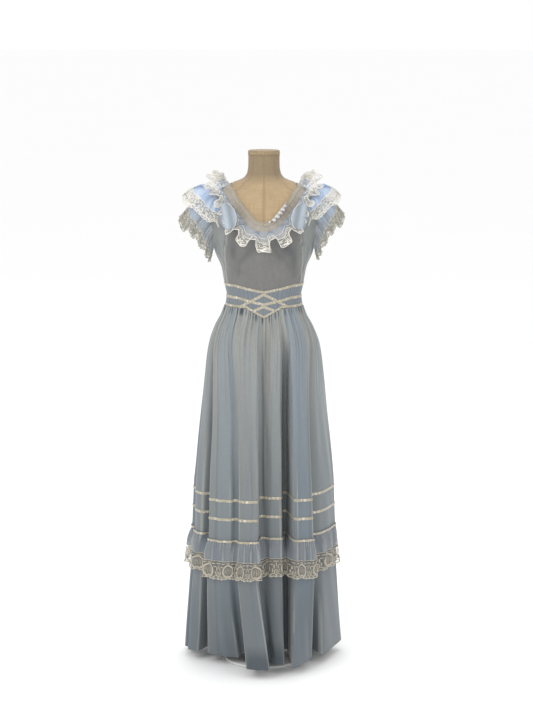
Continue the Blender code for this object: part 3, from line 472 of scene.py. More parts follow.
def creased(across, up, table):
    """How far creases from a table lift each point, from coordinates in metres over the cloth."""
    total = np.zeros(np.broadcast(across, up).shape)
    for from_x, from_z, to_x, to_z, width, depth in table:
        run_x, run_z = to_x - from_x, to_z - from_z
        t = ((across - from_x) * run_x + (up - from_z) * run_z) / (run_x**2 + run_z**2)
        near = clip(t, 0, 1)
        away = np.hypot(across - from_x - near * run_x, up - from_z - near * run_z)
        total += depth * np.exp(-((away / width) ** 2)) * sin(pi * (0.12 + 0.76 * near))
    return total


def bodice_half(side, seam, is_front):
    """Turns and heights over one half of a panel, from its centre to its side."""
    hole_turn, hole_z = even_places(ARMHOLE, len(seam[0]) - 1)
    centre, edge = (0, 89.95) if is_front else (179.95, 90.05)
    if not is_front:
        hole_turn = 180 - hole_turn
    share = linspace(0, 1, 41)
    turn = centre + (edge - centre) * share
    foot = pointed(turn, *BAND_TOP) + SEAM_GAP
    head = hole_z[0] + (seam[1][0] - hole_z[0]) * (1 - share) ** 2
    z = foot + (head - foot) * linspace(0, 1, 31)[:, None]
    limit = np.minimum if is_front else np.maximum
    far_turn = limit(seam[0][1:, None] * (1 - share) + hole_turn[1:, None] * share, edge)
    far_z = seam[1][1:, None] * (1 - share) + hole_z[1:, None] * share
    turns = concatenate([np.broadcast_to(turn, z.shape), far_turn])
    return np.array([side * turns, concatenate([z, far_z])])


def bodice_points(turn, z):
    """The bodice's face with its creases, and its tint: bluer at the sides, from the sheer side panels and a
    painted sheen where the cloth turns away, with painted shade in the crease troughs and in the table's
    patches.
    """
    points, x = torso(turn, z), torso(turn, z)[..., 0]
    in_front = points[..., 1] < 0.02
    lift = creased(x, z, BODICE_CREASES) * in_front
    lift += 0.0007 * sin(radians(turn) * 23 + 3 * sin(z * 40)) * np.abs(sin(radians(turn))) ** 3
    # Bluer towards the sides: the sheer side panels, and a painted sheen where the cloth turns away; a pale
    # line runs along them
    side = np.abs(x) + 0.012 * sin(14 * z)
    sheer = clip((side - 0.1) / 0.012, 0, 1) - 1.2 * np.exp(-(((side - 0.103) / 0.0022) ** 2))
    # Painted shade in the table's patches and in the crease troughs, and a painted sheen where the table goes
    # below 0
    shade_and_sheen = creased(x, z, BODICE_SHADE_AND_SHEEN) * in_front
    tint = pair(sheer + 0.3 * clip(-shade_and_sheen, 0, 1), clip(shade_and_sheen - lift / 0.005, 0, 1))
    return points + outward(turn, z) * lift[..., None], tint


def voile(name, colour, other, alpha=1.0, dark=0.3, sheen=0.3, shadow=(0.04, 0.048, 0.058)):
    """Sheer plain-woven cloth. The tint turns it to its other colour, or pale below 0, and deepens it towards
    the shadow colour as painted shade.
    """
    finish = Finish(name, 0.72, Sheen_Weight=sheen, Sheen_Roughness=0.4, Specular_IOR_Level=0.3)
    turned, deep = finish.layer("tint")
    weave, slubs = finish.weave(0.0007), finish.slubs(900, 2, 0.05)
    layers = finish.range(finish.noise(60, 4, (1, 0.03, 1)), 0.32, 0.68, -0.1, 0.1)
    cloth = finish.mix(finish.node("Clamp", {0: finish.sum("ADD", turned, layers)}), colour, other)
    cloth = finish.mix(finish.range(slubs, 0.7, 1.3, 0, 0.06), cloth, (0.85, 0.86, 0.88))
    clouds = finish.range(finish.noise(14, 3, (1, 0.4, 1)), 0.35, 0.7, 0, 0.12)
    cloth = finish.mix(clouds, cloth, (0.1, 0.11, 0.12))
    # Painted shade: the tint's second value mixes the cloth towards the shadow colour
    cloth = finish.mix(finish.sum("MULTIPLY", deep, dark), cloth, shadow)
    finish.colour(finish.mix(finish.range(turned, -1, 0, 0.4, 0), cloth, (0.5, 0.54, 0.56)))
    crinkle = finish.sum("MULTIPLY", finish.noise(120, 3, (1, 0.2, 1)), 1.6)
    finish.bump(finish.sum("ADD", finish.sum("MULTIPLY", weave, 0.15), crinkle), 0.0004, 0.45)
    if alpha < 1:
        threads = finish.range(finish.sum("ADD", weave, slubs), 0, 2, alpha - 0.08, alpha + 0.08)
        finish.feed(finish.shader.inputs["Alpha"], threads)
    return finish


bodice_voile = voile("bodice_voile", VOILE_GREY, VOILE_BLUE, dark=0.85)
seam = np.array(off_neck(*neck_places(BODICE_FRONT_STEPS, BODICE_BACK_STEPS), YOKE_WIDTH + 0.0007))
front_seam = seam[:, : BODICE_FRONT_STEPS + 1]
back_seam = seam[:, BODICE_FRONT_STEPS : BODICE_FRONT_STEPS + BODICE_BACK_STEPS + 1][:, ::-1]
left, right = (bodice_half(side, front_seam, True) for side in (-1, 1))
points, tint = bodice_points(*concatenate([left[..., ::-1], right], axis=2))
open_centre = np.ones(points.shape[:2], bool)
open_centre[:, points.shape[1] // 2 - 1] = False
make(
    "bodice_front_cloth", points, bodice_voile, "bodice_voile", "bodice_front",
    (0.4, 0.3), "stretched", False, tint, open_centre, rests_on=["form_body"], area=0.09,
)
for word, side in (("right", 1), ("left", -1)):
    points, tint = bodice_points(*bodice_half(side, back_seam, False)[..., ::-side])
    make(
        f"bodice_back_{word}_cloth", points, bodice_voile, "bodice_voile", f"bodice_back_{word}",
        (0.2, 0.3), "stretched", False, tint, rests_on=["form_body"], area=0.048,
    )


# THE YOKE
# A band of beige-grey net round the neck that lets the form show through: a front and a back,
# joined at the shoulders, with narrow cream lace sewn flat along the neck edge.
YOKE_FRONT_STEPS = 98
YOKE_BACK_STEPS = 84
YOKE_ROWS = 10
EDGING_ROWS = 6
EDGING_DEPTH = 0.0105
EDGING_REPEAT = 0.0065
YOKE_NET = (0.4, 0.37, 0.32)
YOKE_PALE = (0.46, 0.44, 0.4)
EDGING_CREAM = (0.44, 0.39, 0.31)
# Columns: x, y, half width, half height, line width; a line of 0 is worked solid
EDGING_MOTIFS = (
    (0.0, 0.0032, 0.0019, 0.0019, 0.0009),
    (0.00325, 0.0072, 0.0016, 0.0012, 0.0),
)


def lace(name, thread, repeat, motifs, net=0.0019, net_thread=0.22, band=0.0012):
    """Cotton lace: motifs from a table, mirrored in each repeat, on a diagonal net.

    The tint layer holds its coordinates in metres, the second from its outer edge.
    """
    finish = Finish(name, 0.88, Sheen_Weight=0.2, Specular_IOR_Level=0.2)
    u, y = finish.layer("tint")
    x = finish.sum("PINGPONG", u, repeat / 2)
    one, two = (
        finish.sum("ABSOLUTE", finish.ripple(finish.sum(way, u, y), net * 2)) for way in ("ADD", "SUBTRACT")
    )
    open_net = finish.range(finish.sum("MINIMUM", one, two), net_thread - 0.1, net_thread + 0.1, 1, 0)
    worked = finish.range(y, band * 0.8, band * 1.1, 1, 0)
    for at_x, at_y, half_x, half_y, line in motifs:
        dx, dy = (
            finish.sum("DIVIDE", finish.sum("SUBTRACT", place, at), half_size)
            for place, at, half_size in ((x, at_x, half_x), (y, at_y, half_y))
        )
        away = finish.sum("SQRT", finish.sum("MULTIPLY_ADD", dx, dx, finish.sum("MULTIPLY", dy, dy)))
        edge = 1.0
        if line:
            away = finish.sum("ABSOLUTE", finish.sum("SUBTRACT", away, 1.0))
            edge = line / min(half_x, half_y)
        worked = finish.sum("MAXIMUM", worked, finish.range(away, edge * 0.8, edge * 1.1, 1, 0))
    stitches = finish.noise(2500, 2)
    cotton = finish.mix(worked, shaded(thread, 0.85), thread)
    finish.colour(finish.mix(finish.range(stitches, 0.3, 0.7, 0.22, 0), cotton, shaded(thread, 0.6)))
    finish.feed(finish.shader.inputs["Alpha"], finish.sum("MAXIMUM", worked, open_net))
    finish.bump(finish.sum("ADD", worked, finish.sum("MULTIPLY", stitches, 0.5)), 0.0006, 0.8)
    return finish


def lace_places(rows, columns, repeats, repeat, depth):
    """Pattern coordinates for a grid of lace with that many repeats along it and its outer edge first."""
    return stack(np.meshgrid(linspace(0, repeats * repeat, columns), linspace(0, depth, rows)), axis=2)


neck_edge = neck_places(YOKE_FRONT_STEPS, YOKE_BACK_STEPS)
NECK_COLUMNS = len(neck_edge[0])
yoke_net = voile("yoke_net", YOKE_NET, YOKE_PALE, alpha=0.62, sheen=0.15)
yoke_levels = [off_neck(*neck_edge, YOKE_WIDTH * share) for share in linspace(1, 0, YOKE_ROWS)]
places = arange(NECK_COLUMNS)
pucker = 0.0005 * sin(places * 0.83 + 0.6 * sin(places * 0.21)) * linspace(1, 0.1, YOKE_ROWS)[:, None]
yoke_grid = np.array([torso(*level) for level in yoke_levels])
yoke_grid += np.array([outward(*level) for level in yoke_levels]) * (pucker - 0.0004)[..., None]
# The first value varies the net's tone along the neck; the second paints shade in the pucker troughs
yoke_tint = pair(0.5 + 0.5 * sin(places * 0.11), clip(-pucker * 800, 0, 1))
for word, first, last in (
    ("front", -YOKE_FRONT_STEPS, YOKE_FRONT_STEPS),
    ("back", YOKE_FRONT_STEPS, NECK_COLUMNS - YOKE_FRONT_STEPS),
):
    chosen = arange(first, last + 1) % NECK_COLUMNS
    flat = (round(float(norm(np.diff(yoke_grid[4][chosen], axis=0)).sum()), 3), 0.03)
    make(
        f"yoke_{word}_net", yoke_grid[:, chosen], yoke_net, "yoke_voile", f"yoke_{word}",
        flat, "stretched", False, yoke_tint[:, chosen], rests_on=["form_body"],
    )
neck_run = norm(np.roll(yoke_grid[-1], -1, axis=0) - yoke_grid[-1]).sum()
edging_repeats = round(neck_run / EDGING_REPEAT)
wave = np.abs(sin(places / NECK_COLUMNS * pi * edging_repeats))
edging_rows = []
for share in linspace(1, 0, EDGING_ROWS):
    far = off_neck(*neck_edge, EDGING_DEPTH * share + 0.0012 * wave * share**2)
    edging_rows.append(torso(*far) + outward(*far) * (0.0014 + 0.0008 * share))
make(
    "neck_edging_lace", edging_rows,
    lace("edging_lace", EDGING_CREAM, EDGING_REPEAT, EDGING_MOTIFS, 0.0014, band=0.0009),
    "cream_lace", "neck_edging", (round(float(neck_run), 3), 0.012), "stretched",
    tint=lace_places(EDGING_ROWS, NECK_COLUMNS + 1, edging_repeats, EDGING_REPEAT, EDGING_DEPTH)[:, :-1],
    rests_on=["yoke_front_net", "yoke_back_net"],
)


# THE NECK RUFFLE
# A strip of light blue voile gathered into the yoke seam, with a deep floral lace sewn on its
# lower edge. It falls in deep loops at front and back and stands up on the shoulders. A short white
# frill fills the neck edge at the right front.
RUFFLE_WAVES = 32
WAVE_STEPS = 28
# Columns: share of the way from centre front to centre back, along the torso, off it, up, length, wave
NECK_RUFFLE = (
    (0.0, 0.78, 0.5, 0.0, 0.056, 0.012),
    (0.1, 0.76, 0.54, 0.0, 0.058, 0.012),
    (0.18, 0.66, 0.66, 0.0, 0.052, 0.011),
    (0.27, 0.55, 0.6, 0.15, 0.046, 0.0095),
    (0.36, 0.7, 0.5, 0.35, 0.044, 0.009),
    (0.43, 0.75, 0.25, 0.55, 0.052, 0.0105),
    (0.5, 0.55, 0.15, 0.75, 0.05, 0.0125),
    (0.56, 0.15, 0.2, 0.95, 0.044, 0.0145),
    (0.68, 0.25, 0.5, 0.55, 0.05, 0.01),
    (0.82, 0.68, 0.52, 0.1, 0.062, 0.01),
    (1.0, 0.82, 0.5, 0.0, 0.066, 0.011),
)
RUFFLE_ROWS = 16
RUFFLE_LACE_ROWS = 13
DROOP = 0.21
FRILL_STEPS = 150
FRILL_ROWS = 8
FRILL_WAVES = 6
FRILL_LENGTH = 0.014
FRILL = 0.0022
RUFFLE_LACE_SHARE = 0.56
LOOPING = 1.5
LACE_REPEAT = 0.018
LACE_DEPTH = 0.033
LACE_WHITE = (0.74, 0.715, 0.65)
RUFFLE_BLUE = (0.44, 0.52, 0.64)
RUFFLE_PALE = (0.62, 0.61, 0.57)
FLORAL_MOTIFS = (
    (0.0, 0.005, 0.0042, 0.0034, 0.0013),
    (0.009, 0.0072, 0.003, 0.0022, 0.001),
    (0.0, 0.015, 0.0022, 0.0022, 0.0),
    (0.0045, 0.015, 0.002, 0.0013, 0.0),
    (0.0022, 0.0187, 0.0013, 0.002, 0.0),
    (0.0022, 0.0113, 0.0013, 0.002, 0.0),
    (0.009, 0.02, 0.0017, 0.0042, 0.0),
    (0.0066, 0.025, 0.0024, 0.0011, 0.0),
    (0.0, 0.027, 0.0026, 0.0018, 0.0008),
)


def gathered(
    roots, ways, lengths, waves, phase, shares, looping, closed,
    rise=0.0, droop=0.0, seam=1.0, frills=5, crumple=0.0011,
):
    """Rows of a gathered strip. Its waves deepen from the root to the free edge and lean over in loops.

    Past the seam is lace, which is gathered again into frills.
    """
    along = run_round(roots, closed)
    tangent = unit(along)
    across = unit(np.cross(tangent, ways))
    pitch = norm(along) / 2 / (phase[1] - phase[0])
    swell = 1 + 0.22 * sin(phase * 0.37 + 1) + 0.14 * sin(phase * 0.61)
    turned = phase + 0.35 * sin(phase * 0.29) + 0.2 * sin(phase * 0.53 + 2)
    rows = []
    for share in shares:
        opened = share**0.8
        off = waves * swell * opened * cos(turned)
        lean = looping * pitch / 2 * sin(2 * turned + 0.35) * opened * clip(swell, 0.7, 1.2)
        off = off + crumple * sin(phase * 3 + share * 6) * min(1, share * 4) * min(1, (1 - share) * 6)
        off = off + FRILL * max(0.0, (share - seam) / max(1 - seam, 0.01)) ** 0.6 * sin(phase * frills)
        drop = lengths * share * (1 + droop * cos(turned) * share + 0.03 * sin(turned * 0.5 + 1) * share)
        row = roots + ways * drop[:, None] + across * off[:, None] + tangent * lean[:, None]
        rows.append(row + np.outer(rise * sin(pi * share) * lengths / lengths.max(), (0, 0, 1)))
    return np.array(rows)


def sew_cord(name, line, inward, radius, thread, closed=True):
    """A round cord along a line of points, given a way across it."""
    tangent = unit(run_round(line, closed))
    side = unit(inward - tangent * (inward * tangent).sum(-1, keepdims=True))
    angles = (arange(6) * pi / 3)[:, None]
    ring = cos(angles) * side[:, None] + sin(angles) * np.cross(tangent, side)[:, None]
    rings = line[:, None] + radius * ring
    make(name, concatenate([rings, rings[:1]]) if closed else rings, thread, "cream_lace")


def twisted(name, thread):
    """Thick cotton thread."""
    finish = Finish(name, 0.85, Sheen_Weight=0.2, Specular_IOR_Level=0.2)
    finish.colour(finish.mix(finish.noise(900, 2), shaded(thread, 0.75), thread))
    finish.bump(finish.ripple(finish.sum("ADD", *finish.layer("metres")), 0.002), 0.0003, 0.7)
    return finish


def gather_tint(rows, phase):
    """Sheer cloth looks paler where it doubles; the deeper tint between its gathers is painted shade."""
    rise = linspace(0, 1, rows)[:, None]
    pale = clip(0.5 + 0.5 * cos(phase) + 0.25 * sin(phase * 2.3), 0, 1) * (0.35 + 0.65 * rise)
    # The second value is painted shade between the gathers
    return pair(pale, clip(-cos(phase + 0.3), 0, 1) * (1 - 0.6 * rise))


def scalloped(rows, repeats_per_step, depth):
    """Draws the first rows in towards the second in small scallops."""
    notch = 1 - np.abs(sin(arange(rows.shape[1]) * pi * repeats_per_step))
    inward = unit(rows[1] - rows[0]) * (notch * depth)[:, None]
    for r, share in enumerate((1.0, 0.75, 0.5, 0.25)):
        rows[r] = rows[r] + inward * share
    return rows


ruffle_blue = voile("ruffle_blue", RUFFLE_BLUE, RUFFLE_PALE, alpha=0.52, sheen=0.5)
white_cord = twisted("white_cord", (0.86, 0.84, 0.79))
floral_lace = lace("floral_lace", LACE_WHITE, LACE_REPEAT, FLORAL_MOTIFS)
ruffle_count = RUFFLE_WAVES * WAVE_STEPS
front_count = round(ruffle_count / 2 * 15 / 26)
ruffle_places = neck_places(front_count, ruffle_count // 2 - front_count)
seam_places = off_neck(*ruffle_places, YOKE_WIDTH)
seam_points, seam_out = torso(*seam_places), outward(*seam_places)
at = 1 - np.abs(1 - 2 * arange(ruffle_count) / ruffle_count)
along_share, off_share, up_share, ruffle_length, ruffle_wave = (
    between(NECK_RUFFLE, at, k) for k in range(1, 6)
)
ways = unit(seam_points - torso(*ruffle_places)) * along_share[:, None]
ways = unit(ways + seam_out * off_share[:, None] + np.outer(up_share, (0, 0, 1)))
ways = unit(sum(np.roll(ways, k, axis=0) for k in range(-26, 27, 2)))
phase = 2 * pi * arange(ruffle_count) / WAVE_STEPS
shares = concatenate([
    linspace(0, RUFFLE_LACE_SHARE, RUFFLE_ROWS), linspace(RUFFLE_LACE_SHARE, 1, RUFFLE_LACE_ROWS)
])
ruffle_rows = gathered(
    seam_points + seam_out * 0.0016, ways, ruffle_length, ruffle_wave, phase, shares, LOOPING, True,
    0.0, DROOP, RUFFLE_LACE_SHARE,
)
make(
    "neck_ruffle_voile", ruffle_rows[:RUFFLE_ROWS][::-1], ruffle_blue, "sheer_blue", "neck_ruffle",
    (1.15, 0.042), tint=gather_tint(RUFFLE_ROWS, phase)[::-1], rests_on=["bodice_front_cloth"],
)
lace_rows = scalloped(ruffle_rows[RUFFLE_ROWS:][::-1], 1 / 7, 0.0028)
ruffle_tint = lace_places(RUFFLE_LACE_ROWS, ruffle_count + 1, RUFFLE_WAVES * 4, LACE_REPEAT, LACE_DEPTH)
quarter = ruffle_count // 4
for word, first, last, cut, under in (
    ("front", -quarter, quarter, 0.86, ["bodice_front_cloth"]),
    ("back", quarter, ruffle_count - quarter, 0.58, ["bodice_back_right_cloth", "bodice_back_left_cloth"]),
):
    chosen = arange(first, last + 1)
    make(
        f"neck_ruffle_lace_{word}", lace_rows[:, chosen % ruffle_count], floral_lace, "cream_lace",
        f"neck_lace_{word}", (cut, 0.032), closed=False, tint=ruffle_tint[:, chosen - first], rests_on=under,
    )
# The third cord, thin and white on the voile's ninth row, stands for the pale lines along the ruffle's folds:
# partly a real heading line, partly a painted highlight
for word, row, radius in (
    ("edge", lace_rows[0], 0.0011),
    ("seam", ruffle_rows[RUFFLE_ROWS], 0.001),
    ("highlight_line", ruffle_rows[9], 0.0007),
):
    sew_cord(f"neck_ruffle_{word}_cord", row, ways, radius, white_cord)
frill_places = even_places(NECK, FRILL_STEPS, (0.8, 3.0))
frill_roots, frill_out = torso(*frill_places), outward(*frill_places)
frill_ways = unit(unit(np.cross(np.gradient(frill_roots, axis=0), frill_out)) + 0.9 * frill_out)
phase = linspace(0, 2 * pi * FRILL_WAVES, FRILL_STEPS + 1)
frill_lengths = FRILL_LENGTH * sin(linspace(0.25, pi, FRILL_STEPS + 1)) ** 0.5
frill_rows = gathered(
    frill_roots + frill_out * 0.002, frill_ways, frill_lengths,
    0.0034, phase, linspace(1, 0, FRILL_ROWS), 1.2, False,
)
frill_white = voile("frill_white", (0.56, 0.57, 0.58), (0.8, 0.8, 0.78), alpha=0.8, dark=0.4)
make(
    "neck_frill_voile", frill_rows, frill_white, "sheer_blue", flat=(0.11, 0.011),
    closed=False, tint=gather_tint(FRILL_ROWS, phase), rests_on=["yoke_front_net"],
)


# THE SLEEVES
# Each armhole carries two flounces of light blue voile edged with lace: a short upper one that
# stands out over the shoulder, and a longer lower one that falls round the arm. The front end of
# the upper one is folded over the side of the neck ruffle as a soft pouch.
# Columns: share round the armhole from the front, out, fall, fore, length
UPPER_SLEEVE = (
    (0.0, 0.2, 0.8, 0.6, 0.04),
    (0.14, 0.34, 0.72, 0.62, 0.062),
    (0.3, 0.72, 0.45, 0.45, 0.086),
    (0.5, 0.97, 0.14, 0.0, 0.092),
    (0.7, 0.72, 0.45, -0.45, 0.084),
    (0.86, 0.38, 0.72, -0.55, 0.064),
    (1.0, 0.2, 0.8, -0.55, 0.044),
)
UPPER_INSET = ((0.0, 0.052), (0.18, 0.042), (0.34, 0.036), (0.5, 0.024), (0.82, 0.026), (1.0, 0.036))
LOWER_INSET = ((0.0, 0.003), (1.0, 0.003))
LOWER_SLEEVE = (
    (0.0, 0.28, 0.95, 0.12, 0.04),
    (0.22, 0.58, 0.8, 0.26, 0.066),
    (0.38, 0.72, 0.68, 0.16, 0.1),
    (0.5, 0.78, 0.62, 0.0, 0.116),
    (0.62, 0.72, 0.68, -0.16, 0.1),
    (0.78, 0.58, 0.8, -0.26, 0.066),
    (1.0, 0.28, 0.95, -0.12, 0.04),
)
SLEEVE_STEPS = 240
SLEEVE_ROWS = 20
SLEEVE_LACE_ROWS = 11
SLEEVE_LACE_SHARE = 0.66
SLEEVE_TAPER = 1.4
SLEEVE_FRILLS = 40
BLUE_FOOT = 1.3
BLUE_FADE = 0.08
POUCH_X = 0.1
POUCH_Z = 1.366
POUCH_HALF_WIDTH = 0.025
POUCH_HALF_HEIGHT = 0.037
POUCH_LEAN = 0.006
POUCH_DEPTH = 0.007
POUCH_FOLDS = 5.5
POUCH_FOOT = 0.034
POUCH_RISE = 0.016
POUCH_RINGS = 12
POUCH_CORDED_TURN = 115
SHEER_BLUE = (0.405, 0.53, 0.755)
SHEER_PALE = (0.59, 0.69, 0.83)
# Painted shade: the lower flounce's lace, greyer than the upper one's
LACE_GREY_SHADED = (0.35, 0.342, 0.285)
# Columns: level, table, share of the armhole left free, how far in from its edge, off the bodice,
# waves, their depth, how far it arches up, the flat size of the voile and of the lace
SLEEVE_LEVELS = (
    ("upper", UPPER_SLEEVE, 0.6, UPPER_INSET, 0.001, 5, 0.006, 0.022, (0.37, 0.062), (0.4, 0.032)),
    ("lower", LOWER_SLEEVE, 0.06, LOWER_INSET, 0.0016, 10, 0.008, 0.012, (0.42, 0.078), (0.44, 0.04)),
)


def sleeve_roots(first, inset, count):
    """Points beside the armhole from its front foot over the shoulder to its back foot, and ways out."""
    turn, z = even_places(ARMHOLE, count // 2, first=first)
    turn, z = concatenate([turn, 180 - turn[-2::-1]]), concatenate([z, z[-2::-1]])
    heading = np.cross(outward(turn, z), np.gradient(torso(turn, z), axis=0))
    moved = walked(turn, z, heading, between(inset, arange(count + 1) / count, 1))
    return torso(*moved), outward(*moved)


sheer_blue = voile("sheer_blue", SHEER_BLUE, SHEER_PALE, alpha=0.78, dark=0.2, sheen=0.5)
pouch_blue = voile("pouch_blue", (0.255, 0.29, 0.32), (0.37, 0.425, 0.48))
# The lower flounce's voile, lace and cord are darker, greyer copies of the upper ones: painted shade
lower_sheer_shaded = voile("lower_sheer_shaded", (0.27, 0.295, 0.31), (0.48, 0.58, 0.72), alpha=0.8, dark=0.35, sheen=0.4)
lower_lace_shaded = lace("lower_sleeve_lace_shaded", LACE_GREY_SHADED, LACE_REPEAT, FLORAL_MOTIFS, net_thread=0.36)
grey_cord_shaded = twisted("grey_cord_shaded", (0.56, 0.545, 0.48))
SLEEVE_FINISHES = {
    "upper": (sheer_blue, floral_lace, white_cord),
    "lower": (lower_sheer_shaded, lower_lace_shaded, grey_cord_shaded),
}
at = arange(SLEEVE_STEPS + 1) / SLEEVE_STEPS
shares = concatenate([
    linspace(0, SLEEVE_LACE_SHARE, SLEEVE_ROWS), linspace(SLEEVE_LACE_SHARE, 1, SLEEVE_LACE_ROWS)
])
for word, side, reach in (("right", 1, 0.84), ("left", -1, 1.0)):
    for level, table, first, inset, clear, wave_count, wave, arch, cut, lace_cut in SLEEVE_LEVELS:
        here, out = sleeve_roots(first, inset, SLEEVE_STEPS)
        go_out, fall, fore, length = (between(table, at, k) for k in range(1, 5))
        waves = wave * clip(length / length.max() * SLEEVE_TAPER, 0, 1)
        phase = 2 * pi * wave_count * at
        rows = gathered(
            here + out * clear, unit(stack([go_out, -fore, -fall], axis=1)), length * reach, waves, phase,
            shares, 0.85, False, arch, 0.04, SLEEVE_LACE_SHARE, round(SLEEVE_FRILLS / wave_count), 0.0022,
        )
        rows = rows[::-1] * (side, 1, 1)
        tint = gather_tint(len(shares), phase)[::-1]
        if level == "lower":
            # Below BLUE_FOOT the lower flounce keeps its grey: painted shade towards its foot
            tint[..., 0] = clip((rows[..., 2] - BLUE_FOOT) / BLUE_FADE, 0, 1) * (0.6 + 0.4 * tint[..., 0])
        pattern = lace_places(SLEEVE_LACE_ROWS, SLEEVE_STEPS + 1, 24, LACE_REPEAT, LACE_DEPTH)
        rows[:SLEEVE_LACE_ROWS] = scalloped(rows[:SLEEVE_LACE_ROWS], 1 / 6, 0.0026)
        rows, tint, pattern = rows[:, ::side], tint[:, ::side], pattern[:, ::side]
        name = f"sleeve_{level}_{word}"
        cloth, edge, thread = SLEEVE_FINISHES[level]
        make(
            name + "_voile", rows[SLEEVE_LACE_ROWS:], cloth, "sheer_blue", name,
            (cut[0] * reach, cut[1]), closed=False, tint=tint[SLEEVE_LACE_ROWS:],
            area=0.58 * cut[0] * reach * cut[1],
        )
        make(
            name + "_edge", rows[:SLEEVE_LACE_ROWS], edge, "cream_lace", name + "_lace",
            (lace_cut[0] * reach, lace_cut[1]), closed=False, tint=pattern,
            area=0.85 * lace_cut[0] * reach * lace_cut[1],
        )
        for place, row, radius in (("edge", 0, 0.001), ("seam", SLEEVE_LACE_ROWS, 0.0012)):
            sew_cord(f"{name}_{place}_cord", rows[row], rows[row + 1] - rows[row], radius, thread, False)
    rings = linspace(0, 1, POUCH_RINGS)[:, None]
    around = radians(arange(60) * 6)
    right_of, above = rings * cos(around), rings * sin(around)
    level = POUCH_Z + POUCH_HALF_HEIGHT * above
    across = POUCH_X + POUCH_HALF_WIDTH * right_of + POUCH_LEAN * above
    turn = np.degrees(np.arcsin(across / between(TORSO, level, 1)))
    folds = sin(POUCH_FOLDS * rings * cos(around + 0.35) + 0.6 + 1.5 * above)
    off = POUCH_FOOT + POUCH_DEPTH * clip(1 - rings**2, 0, 1) ** 0.45 * (1 + 0.3 * folds)
    off = off + POUCH_RISE * (0.5 - 0.5 * right_of) ** 0.8
    pouch_grid = torso(turn, level) + unit(outward(turn, level) + (0, -1.6, 0)) * off[..., None]
    pouch_grid = (pouch_grid * (side, 1, 1))[:, ::side]
    # The tint paints light on the fold ridges, and shade in the troughs and round the rim
    pouch_tint = pair(0.5 + 0.4 * folds, 0.35 - 0.35 * folds + 0.5 * rings**5)[:, ::side]
    make(
        f"sleeve_pouch_{word}", pouch_grid, pouch_blue, "sheer_blue", flat=(0.07, 0.082),
        tint=pouch_tint, rests_on=["bodice_front_cloth"],
    )
    rim = pouch_grid[-1]
    facing = np.degrees(np.arctan2(rim[:, 2] - POUCH_Z, POUCH_X - np.abs(rim[:, 0])))
    rim = rim[np.abs(facing) < POUCH_CORDED_TURN]
    rim = rim[np.argsort(rim[:, 2])]
    sew_cord(f"sleeve_pouch_{word}_cord", rim, 0 * rim + (0, -1, 0), 0.0007, white_cord, False)


# THE WAISTBAND
# A darker blue-grey band gathered between the bodice and the skirt, dipping to a point in front.
# Three cream satin ribbons are stitched round it, and four short ones cross over in front.
# Columns: height at the sides, height at centre front, how wide the point is on each side
BAND_MIDDLE = (1.123, 1.106, 45)
BAND_SEAM = (1.0935, 1.065, 27)
WAIST_Z = 1.128
RIBBON_WIDTH = 0.0095
BAND_BLUE = (0.12, 0.142, 0.16)
BAND_PALE = (0.175, 0.2, 0.217)
SATIN_CREAM = (0.355, 0.32, 0.24)
SATIN_SHADE = (0.19, 0.168, 0.118)
# Columns: level, from turn, from z, to turn, to z, lift
LATTICE = (
    ("upper", -1.5, BAND_TOP[1] - 0.9 * RIBBON_WIDTH, 37, BAND_SEAM[0] + 0.45 * RIBBON_WIDTH, 0.0014),
    ("lower", -1.0, BAND_MIDDLE[1] - 0.6 * RIBBON_WIDTH, 14.5, BAND_SEAM[0] - 0.006, 0.0011),
)


def on_band(turn, z, lift):
    """Points of the waistband's face, which runs straight from its seams to the waist line."""
    seams = (pointed(turn, *BAND_SEAM), WAIST_Z, pointed(turn, *BAND_TOP))
    low, waist, high = (torso(turn, level) for level in seams)
    below = (z <= WAIST_Z)[..., None]
    start, end = np.where(below, low, waist), np.where(below, waist, high)
    share = (z[..., None] - start[..., 2:]) / np.maximum(end[..., 2:] - start[..., 2:], 1e-6)
    return start + (end - start) * share + outward(turn, z) * lift[..., None]


cream_satin = Finish(
    "cream_satin", 0.36, Anisotropic=0.5, Sheen_Weight=0.15, Specular_IOR_Level=0.55,
    Coat_Weight=0.08, Coat_Roughness=0.3,
)
floats = cream_satin.noise(1500, 2, (0.05, 1, 1))
cloth = cream_satin.mix(floats, SATIN_CREAM, SATIN_SHADE)
cloth = cream_satin.mix(cream_satin.range(cream_satin.noise(40, 3), 0.35, 0.65, 0.1, 0.9), SATIN_CREAM, cloth)
# Glints: painted highlights on the satin
glints = cream_satin.range(cream_satin.noise(170, 2, (1, 0.6, 1)), 0.54, 0.66, 0, 0.85)
cream_satin.colour(cream_satin.mix(glints, cloth, (0.62, 0.59, 0.52)))
cream_satin.feed(cream_satin.shader.inputs["Roughness"], cream_satin.range(floats, 0.3, 0.7, 0.28, 0.46))
cream_satin.bump(cream_satin.sum("ADD", floats, cream_satin.noise(90, 2, (0.4, 1, 1))), 0.0004, 0.35)

turn = arange(720) / 2
angle = radians(turn)
share = linspace(0, 1, 22)[:, None]
seam, middle, top = (pointed(turn, *line) for line in (BAND_SEAM, BAND_MIDDLE, BAND_TOP))
gathers = sin(angle * 61 + 2.2 * sin(angle * 7)) + 0.6 * sin(angle * 97 + 1.5 * sin(angle * 11) + 2 * share)
held = sin(pi * clip(share * 2 % 1.0001, 0, 1)) * 0.6 + 0.4
